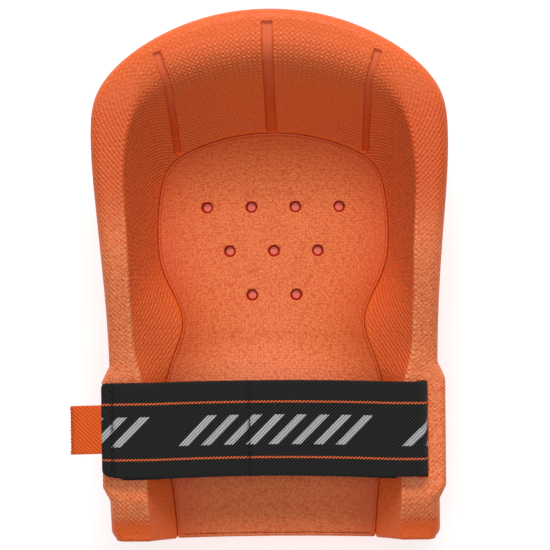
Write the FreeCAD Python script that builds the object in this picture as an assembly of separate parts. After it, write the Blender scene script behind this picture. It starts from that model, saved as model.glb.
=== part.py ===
"""Moulded foam knee pad with one elastic strap, lying on its kneeling face.

Frame: millimetres, +Z up.  The origin is the middle of the flat kneeling face,
+Y points to the high knee end, +X to the slot that the strap's flap comes out of.
Every node is written to parts/NODE.step.
"""
import FreeCAD, Part
import math
import os

V = FreeCAD.Vector
os.makedirs("parts", exist_ok=True)

# ---------------------------------------------------------------- driving dimensions
# plan of the shell
knee_end_y = 126.0          # tip of the knee end
shin_end_y = -126.0         # flat cut of the shin end
knee_half_width = 83.6      # widest, at the kneecap
knee_wide_setback = 58.0    # the widest place is this far behind the tip
waist_half_width = 78.0     # narrowest, behind the kneecap
shin_narrowing = 1.3        # the shin end is this much narrower, per side
corner_radius = 8.0         # plan corners of the shin end

# side view of the shell
corner_roll = 32.0          # radius of the long bottom edges
wall_foot_inset = 1.8       # the walls start this far inside the waist's width
wall_lean = 6.0             # how far the side walls lean out above the roll
wall_lean_height = 30.0     # over this height
base_front_y = 52.0         # the kneeling face ends here and the knee end curves up
nose_height = 58.0          # the knee end curves up to this height
shin_chamfer = 9.0          # bevel under the shin end
knee_rim_z = 78.0           # rim height at the knee end
side_rim_z = 68.0           # at the kneecap's sides
ear_rim_z = 54.0            # at the strap
shin_rim_z = 45.0           # at the shin end
rim_round = 5.0             # rounding of the rim's outer edge

# rim and walls
knee_rim_width = 22.0       # outer edge to crest, at the knee end
side_rim_width = 13.5       # at the kneecap's sides
ear_rim_width = 17.5        # at the strap and the shin end

# cushion and its recess
cup_half_width = 55.0       # knee cup
cup_end_y = 68.0            # end of the cup under the knee end wall
cup_y = 26.0                # where the cup is widest
cup_squareness = 2.6        # 2 is an ellipse, more is squarer
neck_inset = 34.6           # the neck between cup and bed lies this far inside the waist's width
neck_y = -21.0
bed_inset = 26.0            # so does the shin bed where it is widest
bed_y = -53.0
bed_end_inset = 30.6        # and at the shin end
floor_thickness = 13.0      # foam under the cushion
cushion_fit = 0.35          # clearance round and under the cushion
cushion_setback = 3.0       # the cushion stops this far inside the shin end
cup_edge_z = 33.0           # seam height round the cup
cup_end_edge_z = 37.0       # seam height at the knee end
bed_edge_z = 42.0           # seam height beside the shin bed
shin_edge_z = 33.0          # seam height at the shin end
cup_bottom_z = 23.0         # deepest point of the cup
ramp_foot_y = -28.0         # the cup ends and the rise behind the kneecap starts
ramp_foot_z = 26.5
bed_crest_z = 36.0          # top of the rise
bed_crest_y = -62.0
bed_end_z = 26.5            # cushion surface at the shin end

# vent holes
hole_radius = 2.9
hole_depth = 3.0
hole_pitch_x = 21.0
hole_pitch_y = 21.0
hole_rows = (4, 3, 2)       # holes in each row, from the knee end
hole_start = 6.0            # the first row lies this far beyond the cup's widest place

# strap
band_width = 45.0
band_thickness = 1.6
strap_y = -74.2             # middle of the strap
slot_end_room = 4.0         # the slots are this much longer than the band is wide
slot_room = 3.0             # and this much wider than the band is thick
mouth_bevel = 2.5           # bevel of the slots' inner edges
channel_cover = 1.1         # the band lies this far below the shell's underside
band_gap = 0.3              # clearance to whatever the band lies on
strap_sag = 10.0            # how far the runs hang below the rim in the middle
turn_radius = 3.0           # inside bend where the band leaves a slot
rim_bend_radius = 20.0      # bend of the runs over the rims
lower_run_short = 12.5      # the lower run ends this far before the flap's root
flap_short = 0.3            # the flap's free end stops this far inside the ear's outer face
hinge_clearance = 0.4       # gap between a run's root and the fixed band

# ears round the slots
ear_stand_out = 3.3
ear_end_wall = 0.5          # the full ear reaches this far beyond the slot's ends
ear_taper = 8.0
ear_foot_z = 22.0
ear_level_room = 2.5        # the rim lies level this far beyond the slot's ends

# fastener tapes, tab and stitches
tape_thickness = 1.0
tape_margin = 3.0           # the tapes are this much narrower than the band, per side
hook_setback = 5.0          # from the flap's free end to the hook tape
hook_length = 65.0
loop_setback = 1.5          # from the left rim's inner edge to the loop tape
loop_end_setback = 8.0      # the loop tape stops this far before the lower run's end
sewn_gap = 0.1              # between a tape and the band it is sewn to
tab_width = 23.0
tab_length = 14.6
tab_thickness = 1.6
tab_gap = 0.3
stitch_height = 0.35
stitch_width = 0.9
stitch_length = 2.2
stitch_pitch = 3.1
stitch_gap = 0.12
stitch_inset = 0.5          # a stitch row lies this far inside a tape's end
loop_stitch_inset = 2.0

# tread of the kneeling face
tread_depth = 2.2
tread_width = 4.0
tread_pitch = 15.0
tread_half_length = 38.0
tread_end_room = 6.0        # the tread stops this far before the flat face ends

# ---------------------------------------------------------------- derived values
shin_half_width = waist_half_width - shin_narrowing
neck_half_width = waist_half_width - neck_inset
bed_half_width = waist_half_width - bed_inset
bed_end_half_width = waist_half_width - bed_end_inset
wall_foot_x = waist_half_width - wall_foot_inset
corner_x = wall_foot_x - corner_roll                # half width of the flat kneeling face
half_band = band_thickness / 2
channel_depth = band_thickness + band_gap + channel_cover
slot_x = wall_foot_x - channel_cover - half_band
slot_width = band_thickness + slot_room
slot_length = band_width + slot_end_room
ear_x = waist_half_width + ear_stand_out
ear_length = slot_length + 2 * ear_end_wall
ear_level = slot_length + 2 * ear_level_room
rest_z = ear_rim_z + band_gap + half_band           # middle of the lower run on the rims
rim_rest_x = waist_half_width - ear_rim_width - 0.5  # the runs lie on the rims outside this
sag_turn = 2 * math.degrees(math.atan(strap_sag / rim_rest_x))
sag_radius = rim_rest_x / math.sin(math.radians(sag_turn)) - rim_bend_radius

# layers of the strap, counted up from the lower run's middle
loop_low = half_band + sewn_gap
loop_high = loop_low + tape_thickness
hook_low = loop_high + band_gap
hook_high = hook_low + tape_thickness
flap_low = hook_high + sewn_gap
flap_high = flap_low + band_thickness
flap_z = rest_z + (flap_low + flap_high) / 2
tape_width = band_width - 2 * tape_margin

# places along the strap
bend = turn_radius + half_band
mouth_x = slot_x - bend
lower_run_end_x = mouth_x - lower_run_short
flap_end_x = -(ear_x - flap_short)
tab_root_x = flap_end_x - tab_gap - tab_thickness / 2   # axis that the pull tab swings about
hook_outer_x = flap_end_x + hook_setback
hook_inner_x = hook_outer_x + hook_length
loop_outer_x = -(rim_rest_x + 0.5 - loop_setback - 1.0)
loop_inner_x = lower_run_end_x - loop_end_setback
first_hole_y = cup_y + hole_start
tall = knee_rim_z + 30.0    # higher than everything


# ---------------------------------------------------------------- helpers
def mirrored(half):
    """Right-hand points, shin end first, continued round the knee end to the left."""
    left = [(-x, y) for x, y in reversed(half) if x > 0.001]
    return half + left


def spline(points, start=None, end=None, knots=None):
    """One smooth edge through the points."""
    curve = Part.BSplineCurve()
    if start is not None:
        curve.interpolate(Points=[V(*p) for p in points], InitialTangent=V(*start), FinalTangent=V(*end))
    elif knots is not None:
        curve.interpolate(Points=[V(*p) for p in points], Parameters=knots)
    else:
        curve.interpolate([V(*p) for p in points])
    return curve.toShape()


def chord_knots(half):
    """Knots spaced by distance along the mirrored points, so that edges on one wall line up."""
    points = mirrored(half)
    knots = [0.0]
    for (x0, y0), (x1, y1) in zip(points, points[1:]):
        knots.append(knots[-1] + math.hypot(x1 - x0, y1 - y0))
    return [k / knots[-1] for k in knots]


def prism(points, direction):
    """Straight-sided solid from a closed list of 3D points."""
    wire = Part.makePolygon([V(*p) for p in points + points[:1]])
    return Part.Face(wire).extrude(V(*direction))


def block(x0, x1, y0, y1, z0, z1):
    return Part.makeBox(x1 - x0, y1 - y0, z1 - z0, V(x0, y0, z0))


def smooth_between(a, b, t):
    """Eased value from a to b as t goes from 0 to 1."""
    t = min(max(t, 0.0), 1.0)
    return a + (b - a) * t * t * (3 - 2 * t)


def rim_z(y):
    """Height of the rim along the pad."""
    if y > 20.0:
        return smooth_between(side_rim_z, knee_rim_z, (y - 20.0) / 90.0)
    level_from, level_to = strap_y - ear_level / 2, strap_y + ear_level / 2
    if y > level_to:
        return smooth_between(ear_rim_z, side_rim_z, (y - level_to) / (20.0 - level_to))
    return smooth_between(shin_rim_z, ear_rim_z, (y - shin_end_y) / (level_from - shin_end_y))


def seam_z(y):
    """Height of the seam between wall and cushion along the pad."""
    if y > cup_y:
        return smooth_between(cup_edge_z, cup_end_edge_z, (y - cup_y) / (cup_end_y - cup_y))
    if y > bed_y:
        return smooth_between(bed_edge_z, cup_edge_z, (y - bed_y) / (cup_y - bed_y))
    return smooth_between(shin_edge_z, bed_edge_z, (y - shin_end_y) / (bed_y - shin_end_y))


def middle_z(y):
    """Height of the cushion's surface along its middle."""
    if y > cup_y:
        return cup_bottom_z
    if y > ramp_foot_y:
        return cup_bottom_z + (ramp_foot_z - cup_bottom_z) * ((cup_y - y) / (cup_y - ramp_foot_y)) ** 2
    if y > bed_crest_y:
        return smooth_between(bed_crest_z, ramp_foot_z, (y - bed_crest_y) / (ramp_foot_y - bed_crest_y))
    return smooth_between(bed_end_z, bed_crest_z, (y - shin_end_y) / (bed_crest_y - shin_end_y))


def seam_width(y):
    """Half width of the cushion along the pad."""
    if y > neck_y:
        return smooth_between(neck_half_width, cup_half_width, (y - neck_y) / (cup_y - neck_y))
    if y > bed_y:
        return smooth_between(bed_half_width, neck_half_width, (y - bed_y) / (neck_y - bed_y))
    return smooth_between(bed_end_half_width, bed_half_width, (y - shin_end_y) / (bed_y - shin_end_y))


def cushion_z(x, y):
    """Height of the cushion's surface."""
    if y > cup_y:
        along = abs((y - cup_y) / (cup_end_y - cup_y)) ** cup_squareness
        across = abs(x / cup_half_width) ** cup_squareness
        reach = (along + across) ** (1 / cup_squareness)
    else:
        reach = abs(x) / seam_width(y)
    middle = middle_z(y)
    return middle + (seam_z(y) - middle) * min(reach, 1.15) ** 2


def seam_half(grow=0.0):
    """Right half of the cushion's outline, shin end first."""
    cup_reach = cup_end_y - cup_y
    w = cup_half_width
    half = [
        (bed_end_half_width - 0.5, shin_end_y - 12.0),
        (bed_end_half_width, shin_end_y),
        (bed_end_half_width + 0.45 * (bed_half_width - bed_end_half_width), -100.0),
        (bed_half_width, bed_y),
        (neck_half_width + 0.46 * (bed_half_width - neck_half_width), neck_y - 15.5),
        (neck_half_width, neck_y),
        (neck_half_width + 0.55 * (w - neck_half_width), neck_y + 17.0),
        (w - 0.6, cup_y - 16.0),
        (w, cup_y),
        (0.945 * w, cup_y + 0.48 * cup_reach),
        (0.80 * w, cup_y + 0.73 * cup_reach),
        (0.46 * w, cup_y + 0.92 * cup_reach),
        (0.0, cup_end_y),
    ]
    grown = []
    for i, (x, y) in enumerate(half):
        ahead = half[min(i + 1, len(half) - 1)]
        behind = half[max(i - 1, 0)]
        dx, dy = ahead[0] - behind[0], ahead[1] - behind[1]
        if x < 0.001:
            dx, dy = -1.0, 0.0
        size = math.hypot(dx, dy)
        grown.append((x + grow * dy / size, y - grow * dx / size))
    return grown


def outer_half():
    """Right half of the shell's outline above the shin corner."""
    return [
        (shin_half_width, shin_end_y + corner_radius),
        (waist_half_width, -95.0),
        (waist_half_width, -31.0),
        (waist_half_width + 0.45 * (knee_half_width - waist_half_width), 16.0),
        (knee_half_width - 0.6, knee_end_y - knee_wide_setback - 22.0),
        (knee_half_width, knee_end_y - knee_wide_setback),
        (0.966 * knee_half_width, knee_end_y - 40.0),
        (0.85 * knee_half_width, knee_end_y - 26.5),
        (0.646 * knee_half_width, knee_end_y - 14.0),
        (0.34 * knee_half_width, knee_end_y - 3.6),
        (0.0, knee_end_y),
    ]


def crest_half():
    """Right half of the rim's crest line, where the wall starts down."""
    ear_x_in = waist_half_width - ear_rim_width
    knee_x_in = knee_half_width - side_rim_width
    tip_y = knee_end_y - knee_rim_width
    return [
        (ear_x_in - 1.0, shin_end_y - 12.0),
        (ear_x_in - 0.8, shin_end_y),
        (ear_x_in, -100.0),
        (ear_x_in + 0.8, bed_y),
        (waist_half_width - side_rim_width, neck_y - 15.5),
        (waist_half_width - side_rim_width + 0.6, neck_y),
        (waist_half_width - side_rim_width + 2.0, neck_y + 17.0),
        (knee_x_in - 1.6, cup_y - 10.0),
        (knee_x_in - 0.4, cup_y + 12.0),
        (0.96 * knee_x_in, cup_y + 38.0),
        (0.83 * knee_x_in, tip_y - 18.0),
        (0.48 * knee_x_in, tip_y - 5.0),
        (0.0, tip_y),
    ]


def closed_wire(half, height, knots=None):
    """Closed wire: a spline round the mirrored points and a straight line across the shin end."""
    points = [(x, y, height(y) if callable(height) else height) for x, y in mirrored(half)]
    edge = spline(points, knots=knots or chord_knots(half))
    line = Part.makeLine(V(*points[-1]), V(*points[0]))
    return Part.Wire([edge, line])


def surface_from(height, x_reach, y_low, y_high, step=14.0):
    """Smooth face z = height(x, y) over a rectangle."""
    columns = int(math.ceil(2 * x_reach / step)) + 1
    rows = int(math.ceil((y_high - y_low) / step)) + 1
    grid = []
    for i in range(columns):
        x = -x_reach + 2 * x_reach * i / (columns - 1)
        grid.append([V(x, y_low + (y_high - y_low) * j / (rows - 1),
                       height(x, y_low + (y_high - y_low) * j / (rows - 1))) for j in range(rows)])
    surface = Part.BSplineSurface()
    surface.interpolate(grid)
    return surface.toShape()


def save(shape, name):
    solids = shape.Solids
    shape = solids[0] if len(solids) == 1 else Part.makeCompound(solids)
    ok = all(s.isValid() for s in solids)
    print(f"{name:15s} solids {len(solids)} valid {ok} volume {shape.Volume / 1000:8.2f} cm3 "
          f"x {shape.BoundBox.XMin:7.2f} {shape.BoundBox.XMax:7.2f} y {shape.BoundBox.YMin:7.2f} "
          f"{shape.BoundBox.YMax:7.2f} z {shape.BoundBox.ZMin:6.2f} {shape.BoundBox.ZMax:6.2f}")
    shape.exportStep(f"parts/{name}.step")
    return shape


# ---------------------------------------------------------------- shell: outer body
def outline_prism():
    """The plan outline, straight up."""
    points = mirrored(outer_half())
    side = spline([(x, y, 0.0) for x, y in points], (0, 1, 0), (0, -1, 0))
    r = corner_radius
    x1, y1 = shin_half_width, shin_end_y
    mid = r * (1 - math.sqrt(0.5))
    right = Part.Arc(V(x1 - r, y1, 0), V(x1 - mid, y1 + mid, 0), V(x1, y1 + r, 0)).toShape()
    left = Part.Arc(V(-x1, y1 + r, 0), V(-x1 + mid, y1 + mid, 0), V(-x1 + r, y1, 0)).toShape()
    line = Part.makeLine(V(-x1 + r, y1, 0), V(x1 - r, y1, 0))
    return Part.Face(Part.Wire([line, right, side, left])).extrude(V(0, 0, tall))


def hull_inset(z):
    """How far the side walls stand inside the foot of the wall, at height z."""
    if z >= corner_roll:
        return -wall_lean * (z - corner_roll) / wall_lean_height
    return corner_roll - math.sqrt(corner_roll ** 2 - (corner_roll - z) ** 2)


def nose_reach(z):
    """How far the knee end reaches along Y, at height z."""
    depth = knee_end_y - base_front_y
    if z >= nose_height:
        return knee_end_y + 2.0
    share = 1 - (1 - z / nose_height) ** 2
    return base_front_y + depth * math.sqrt(share)


def hull():
    """Round-bottomed hull: the outline at several heights, drawn in towards the base."""
    wires = []
    for z in (0.0, 1.2, 4.5, 10.0, 18.0, 28.0, 40.0, nose_height, tall):
        narrow = (wall_foot_x - hull_inset(z)) / wall_foot_x
        grow = wall_foot_x / waist_half_width
        stretch = (nose_reach(z) - cup_y) / (knee_end_y - cup_y)
        level = [(x * narrow * grow, y if y < cup_y else cup_y + (y - cup_y) * stretch)
                 for x, y in outer_half()]
        level[0] = (level[0][0], shin_end_y - 12.0)
        wires.append(closed_wire(level, z))
    return Part.makeLoft(wires, True, False)


def side_prism():
    """Rim's height and the bevelled shin end, across the whole width."""
    x = -knee_half_width - 15.0
    front = knee_end_y + 10.0
    back = shin_end_y - 5.0
    c = shin_chamfer
    steps = 24
    top_points = [V(x, front + (back - front) * i / steps, rim_z(front + (back - front) * i / steps))
                  for i in range(steps + 1)]
    top = Part.BSplineCurve()
    top.interpolate(top_points)
    edges = [
        Part.makeLine(V(x, shin_end_y + c, -1.0), V(x, front, -1.0)),
        Part.makeLine(V(x, front, -1.0), top_points[0]),
        top.toShape(),
        Part.makeLine(top_points[-1], V(x, back, c + 5.0)),
        Part.makeLine(V(x, back, c + 5.0), V(x, shin_end_y + c, 0)),
        Part.makeLine(V(x, shin_end_y + c, 0), V(x, shin_end_y + c, -1.0)),
    ]
    return Part.Face(Part.Wire(edges)).extrude(V(-2 * x, 0, 0))


def ear(side):
    """Thickened wall that the strap's slot goes through."""
    y0, y1 = strap_y - ear_length / 2, strap_y + ear_length / 2
    x_in, x_out = waist_half_width - 6.0, ear_x
    plan = [(x_in, y0 - ear_taper, 0), (waist_half_width - 0.5, y0 - ear_taper, 0), (x_out, y0, 0),
            (x_out, y1, 0), (waist_half_width - 0.5, y1 + ear_taper, 0), (x_in, y1 + ear_taper, 0)]
    body = prism([(side * x, y, ear_foot_z) for x, y, z in plan], (0, 0, tall))
    low = prism([(side * (x_in - 1), y0 - 20, ear_foot_z - 1),
                 (side * (x_out + 3), y0 - 20, ear_foot_z - 1),
                 (side * (x_out + 3), y0 - 20, ear_foot_z + 9)], (0, ear_length + 40, 0))
    return body.cut(low)


def cavity():
    """Leg space: recess walls up to the seam, sloping walls up to the crest, open above."""
    over = 3.0              # the crest wire runs this far above the rim, so the wall cuts it cleanly
    top_z = tall + 20.0
    knots = chord_knots(crest_half())
    base = closed_wire(seam_half(), floor_thickness, knots)
    seam = closed_wire(seam_half(), seam_z, knots)
    crest = closed_wire(crest_half(), lambda y: rim_z(y) + over, knots)
    above = closed_wire(crest_half(), top_z, knots)
    return Part.makeLoft([base, seam, crest, above], True, True)


def strap_channel():
    """Recess across the underside for the band, round both long edges."""
    r = corner_roll - channel_depth
    c = corner_x
    diag = r * math.sqrt(0.5)
    y0 = strap_y - slot_length / 2
    z = corner_roll
    inner = [
        Part.makeLine(V(-c - r, y0, z), V(c + r, y0, z)),
        Part.Arc(V(c + r, y0, z), V(c + diag, y0, z - diag), V(c, y0, z - r)).toShape(),
        Part.makeLine(V(c, y0, z - r), V(-c, y0, z - r)),
        Part.Arc(V(-c, y0, z - r), V(-c - diag, y0, z - diag), V(-c - r, y0, z)).toShape(),
    ]
    core = Part.Face(Part.Wire(inner)).extrude(V(0, slot_length, 0))
    outside = block(-slot_x - slot_width / 2, slot_x + slot_width / 2, y0, y0 + slot_length, -5.0, z)
    return outside.cut(core)


def slot(side):
    """Straight slot through an ear, bevelled where the band turns over its inner edge."""
    y0 = strap_y - slot_length / 2
    x0 = side * slot_x - slot_width / 2
    straight = block(x0, x0 + slot_width, y0, y0 + slot_length, corner_roll - 1.0, tall)
    edge = side * (slot_x - slot_width / 2)
    bevel = prism([(edge + side * 0.5, y0, ear_rim_z - mouth_bevel),
                   (edge, y0, ear_rim_z - mouth_bevel),
                   (edge - side * mouth_bevel, y0, ear_rim_z),
                   (edge - side * mouth_bevel, y0, ear_rim_z + 3.0),
                   (edge + side * 0.5, y0, ear_rim_z + 3.0)], (0, slot_length, 0))
    return straight.fuse(bevel)


def rounded_rim(body):
    """The solid block with the outer edge of its top rounded."""
    edges = []
    for edge in body.Edges:
        points = edge.discretize(9)
        on_rim = all(abs(p.z - rim_z(p.y)) < 1.0 for p in points)
        at_shin = all(p.y < shin_end_y + corner_radius + 1.0 for p in points)
        if on_rim and not at_shin:
            edges.append(edge)
    return body.makeFillet(rim_round, edges)


def tread_places():
    """Middles of the cross grooves of the kneeling face, clear of the strap's channel."""
    first = shin_end_y + shin_chamfer + tread_end_room
    last = base_front_y - tread_end_room
    steps = range(math.ceil(first / tread_pitch - 0.5), math.floor(last / tread_pitch - 0.5) + 1)
    places = [(i + 0.5) * tread_pitch for i in steps]
    return [y for y in places if abs(y - strap_y) > slot_length / 2 + tread_width]


def make_shell():
    body = outline_prism().common(hull()).common(side_prism())
    body = rounded_rim(body)
    rim_top = side_prism()
    for side in (1, -1):
        body = body.fuse(ear(side).common(rim_top))
    body = body.cut(cavity())
    body = body.cut(strap_channel())
    for side in (1, -1):
        body = body.cut(slot(side))
    for y in tread_places():
        body = body.cut(block(-tread_half_length, tread_half_length, y - tread_width / 2,
                              y + tread_width / 2, -1.0, tread_depth))
    return body.removeSplitter()


save(make_shell(), "shell")


# ---------------------------------------------------------------- cushion
def make_cushion():
    outline = closed_wire(seam_half(-cushion_fit), floor_thickness + cushion_fit, chord_knots(crest_half()))
    body = Part.Face(outline).extrude(V(0, 0, tall))
    body = body.common(block(-tall, tall, shin_end_y + cushion_setback, tall + knee_end_y, 0.0, tall))
    above = surface_from(cushion_z, cup_half_width + 12.0, shin_end_y - 6.0, cup_end_y + 8.0, 9.0)
    body = body.cut(above.extrude(V(0, 0, 2 * tall)))
    for row, count in enumerate(hole_rows):
        y = first_hole_y - row * hole_pitch_y
        for i in range(count):
            x = (i - (count - 1) / 2) * hole_pitch_x
            bottom = cushion_z(x, y) - hole_depth
            body = body.cut(Part.makeCylinder(hole_radius, tall, V(x, y, bottom)))
    return body


save(make_cushion(), "knee_cushion")


# ---------------------------------------------------------------- strap
def arc_sector(cx, cz, r0, r1, from_deg, to_deg, y0, y1):
    """Part of a ring in the XZ plane, from one angle to another, as wide as y0 to y1."""
    def at(r, deg):
        return V(cx + r * math.cos(math.radians(deg)), y0, cz + r * math.sin(math.radians(deg)))
    mid = (from_deg + to_deg) / 2
    edges = [
        Part.Arc(at(r0, from_deg), at(r0, mid), at(r0, to_deg)).toShape(),
        Part.makeLine(at(r0, to_deg), at(r1, to_deg)),
        Part.Arc(at(r1, to_deg), at(r1, mid), at(r1, from_deg)).toShape(),
        Part.makeLine(at(r1, from_deg), at(r0, from_deg)),
    ]
    return Part.Face(Part.Wire(edges)).extrude(V(0, y1 - y0, 0))


def strip(low, high, x0, x1, width, shift_y=0.0):
    """Layer that follows the runs' line, from low to high above the lower run's middle."""
    y0 = strap_y + shift_y - width / 2
    y1 = y0 + width
    far = 2 * knee_half_width
    bend_z = rest_z - rim_bend_radius
    sag_z = rest_z - strap_sag + sag_radius
    pieces = [arc_sector(0.0, sag_z, sag_radius - high, sag_radius - low,
                         270.0 - sag_turn, 270.0 + sag_turn, y0, y1)]
    for side in (1, -1):
        start = side * rim_rest_x
        pieces.append(block(min(start, side * far), max(start, side * far), y0, y1,
                            rest_z + low, rest_z + high))
        turn = (90.0, 90.0 + sag_turn) if side > 0 else (90.0 - sag_turn, 90.0)
        pieces.append(arc_sector(start, bend_z, rim_bend_radius + low, rim_bend_radius + high,
                                 turn[0], turn[1], y0, y1))
    layer = pieces[0]
    for piece in pieces[1:]:
        layer = layer.fuse(piece)
    return layer.removeSplitter().common(block(x0, x1, y0 - 1.0, y1 + 1.0, 0.0, 2 * tall))


def make_band():
    """Fixed part of the elastic: up both slots and across the underside, in its channel."""
    y0, y1 = strap_y - band_width / 2, strap_y + band_width / 2
    c, z = corner_x, corner_roll
    r = slot_x - corner_x
    pieces = [block(-c, c, y0, y1, z - r - half_band, z - r + half_band)]
    pieces.append(arc_sector(c, z, r - half_band, r + half_band, 270.0, 360.0, y0, y1))
    pieces.append(arc_sector(-c, z, r - half_band, r + half_band, 180.0, 270.0, y0, y1))
    for side, top in ((1, flap_z), (-1, rest_z)):
        x = side * slot_x
        pieces.append(block(x - half_band, x + half_band, y0, y1, z, top - bend))
        turn = (0.0, 90.0) if side > 0 else (90.0, 180.0)
        pieces.append(arc_sector(x - side * bend, top - bend, bend - half_band, bend + half_band,
                                 turn[0], turn[1], y0, y1))
    band = pieces[0]
    for piece in pieces[1:]:
        band = band.fuse(piece)
    return band.removeSplitter()


save(make_band(), "strap_band")
save(strip(-half_band, half_band, -mouth_x + hinge_clearance, lower_run_end_x, band_width), "strap_lower")
save(strip(flap_low, flap_high, flap_end_x, mouth_x - hinge_clearance, band_width), "strap_flap")
save(strip(loop_low, loop_high, loop_outer_x, loop_inner_x, tape_width), "loop_tape")
save(strip(hook_low, hook_high, hook_outer_x, hook_inner_x, tape_width), "hook_tape")


# ---------------------------------------------------------------- pull tab
def make_tab():
    """Folded ribbon, round at the free end's fold and at the root that it swings about."""
    y0, y1 = strap_y - tab_width / 2, strap_y + tab_width / 2
    r = tab_thickness / 2
    fold_x = tab_root_x + r - tab_length + r
    body = block(fold_x, tab_root_x, y0, y1, flap_z - r, flap_z + r)
    for x in (fold_x, tab_root_x):
        body = body.fuse(Part.makeCylinder(r, tab_width, V(x, y0, flap_z), V(0, 1, 0)))
    return body.removeSplitter()


save(make_tab(), "pull_tab")


# ---------------------------------------------------------------- stitches
def stitch_row(low, x):
    """Row of short threads across the strap, lying on the layer whose top is at low."""
    count = int(tape_width // stitch_pitch)
    places = [(i - (count - 1) / 2) * stitch_pitch for i in range(count)]
    x0, x1 = x - stitch_width / 2, x + stitch_width / 2
    return Part.makeCompound([strip(low, low + stitch_height, x0, x1, stitch_length, y) for y in places])


save(stitch_row(flap_high + stitch_gap, hook_outer_x), "end_stitches")
save(stitch_row(flap_high + stitch_gap, hook_inner_x - stitch_inset), "mid_stitches")
save(stitch_row(loop_high + stitch_gap, loop_inner_x - loop_stitch_inset), "loop_stitches")
print(f"flap hinge x {mouth_x:.2f} z {rest_z + flap_high:.2f}, lower run hinge x {-mouth_x:.2f} "
      f"z {rest_z + half_band:.2f}, tab hinge x {tab_root_x:.2f} z {flap_z:.2f}")
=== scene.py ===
# %% [markdown]
# # A moulded foam knee pad, finished in Blender
#
# The object is a kneeling protector: a thick moulded foam shell with a high rim, a softer foam
# cushion let into it, and one wide elastic strap that closes with hook and loop tape.  It lies on
# its kneeling face with the inside up.  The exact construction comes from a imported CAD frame.
# This lesson replaces each plain solid with a finished mesh in the same place, and gives every
# surface a procedural material of its own.

# %% Load the frame
import math

import bmesh
import bpy
import numpy as np
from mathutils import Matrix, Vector
from mathutils.bvhtree import BVHTree


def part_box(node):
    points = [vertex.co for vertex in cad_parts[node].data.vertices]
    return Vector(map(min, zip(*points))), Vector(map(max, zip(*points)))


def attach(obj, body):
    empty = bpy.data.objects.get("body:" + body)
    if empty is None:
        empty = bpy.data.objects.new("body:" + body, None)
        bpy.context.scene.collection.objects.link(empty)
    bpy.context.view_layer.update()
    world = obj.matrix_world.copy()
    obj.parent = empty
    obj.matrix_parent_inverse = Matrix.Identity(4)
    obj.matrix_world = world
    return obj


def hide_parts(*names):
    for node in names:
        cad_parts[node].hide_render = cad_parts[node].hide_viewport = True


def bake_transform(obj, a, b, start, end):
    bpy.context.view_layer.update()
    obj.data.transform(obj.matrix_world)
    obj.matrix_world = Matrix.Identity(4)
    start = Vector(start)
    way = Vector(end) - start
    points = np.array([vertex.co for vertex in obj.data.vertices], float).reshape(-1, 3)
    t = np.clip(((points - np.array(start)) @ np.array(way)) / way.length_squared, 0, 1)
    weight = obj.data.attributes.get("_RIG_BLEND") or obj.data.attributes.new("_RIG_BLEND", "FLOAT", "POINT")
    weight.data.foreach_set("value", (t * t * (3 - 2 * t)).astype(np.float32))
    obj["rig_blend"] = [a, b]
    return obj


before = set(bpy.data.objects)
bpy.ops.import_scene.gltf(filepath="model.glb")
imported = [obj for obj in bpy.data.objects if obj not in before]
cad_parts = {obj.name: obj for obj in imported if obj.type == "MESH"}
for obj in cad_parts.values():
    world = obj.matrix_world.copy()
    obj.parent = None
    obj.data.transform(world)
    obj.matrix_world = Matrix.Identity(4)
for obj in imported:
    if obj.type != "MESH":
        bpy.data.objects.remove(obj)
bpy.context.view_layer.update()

# %% [markdown]
# ## Units and measures
#
# A maker of moulds thinks in millimetres and Blender in metres. The formulas below are in
# millimetres, and one helper turns points into metres when a mesh is made. What a box can't
# tell, such as how wide the rim is, is named here once.

# %% Places that the frame gives
MM = 0.001


def node_box(node):
    low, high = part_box(node)
    return np.array(low) / MM, np.array(high) / MM


shell_low, shell_high = node_box("shell")
cushion_low, cushion_high = node_box("knee_cushion")
run_low, run_high = node_box("strap_lower")
flap_low, flap_high = node_box("strap_flap")
loop_low, loop_high = node_box("loop_tape")
hook_low, hook_high = node_box("hook_tape")
tab_low, tab_high = node_box("pull_tab")
knee_y, shin_y, knee_half = shell_high[1], shell_low[1], shell_high[0]
strap_y = (flap_low[1] + flap_high[1]) / 2
band_width = flap_high[1] - flap_low[1]
print(f"shell {knee_y - shin_y:.1f} x {2 * knee_half:.1f} x {shell_high[2]:.1f} mm")
print(f"strap {band_width:.1f} mm wide, across the pad at y {strap_y:.1f}")

# %% Sizes of the shell
waist_half = 78.0            # half width behind the kneecap; the foot is a little wider
wide_y = knee_y - 58.0       # the shell is widest here
corner_radius = 6.0          # plan corners of the shin end
roll = 32.0                  # radius of the long bottom edges
wall_foot = 76.2             # the side walls start here and lean out
wall_lean = 0.2
base_front_y = 52.0          # the kneeling face ends here and the knee end curves up
nose_height = 58.0
shin_chamfer = 9.0
knee_rim_z, side_rim_z, ear_rim_z, shin_rim_z = 78.0, 68.0, 54.0, 45.0
knee_rim_width, side_rim_width, ear_rim_width = 22.0, 13.5, 17.5
rim_round, ear_round = 5.0, 2.0   # rounding of the rim's outer edge, and of the ears'
slot_length = band_width + 4.0
ear_length, ear_level = slot_length + 1.0, slot_length + 5.0
ear_x, ear_taper = 81.3, 8.0
slot_x, mouth_bevel = 74.3, 2.5
print(f"the flat kneeling face is {2 * (wall_foot - roll):.1f} mm wide")

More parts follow.
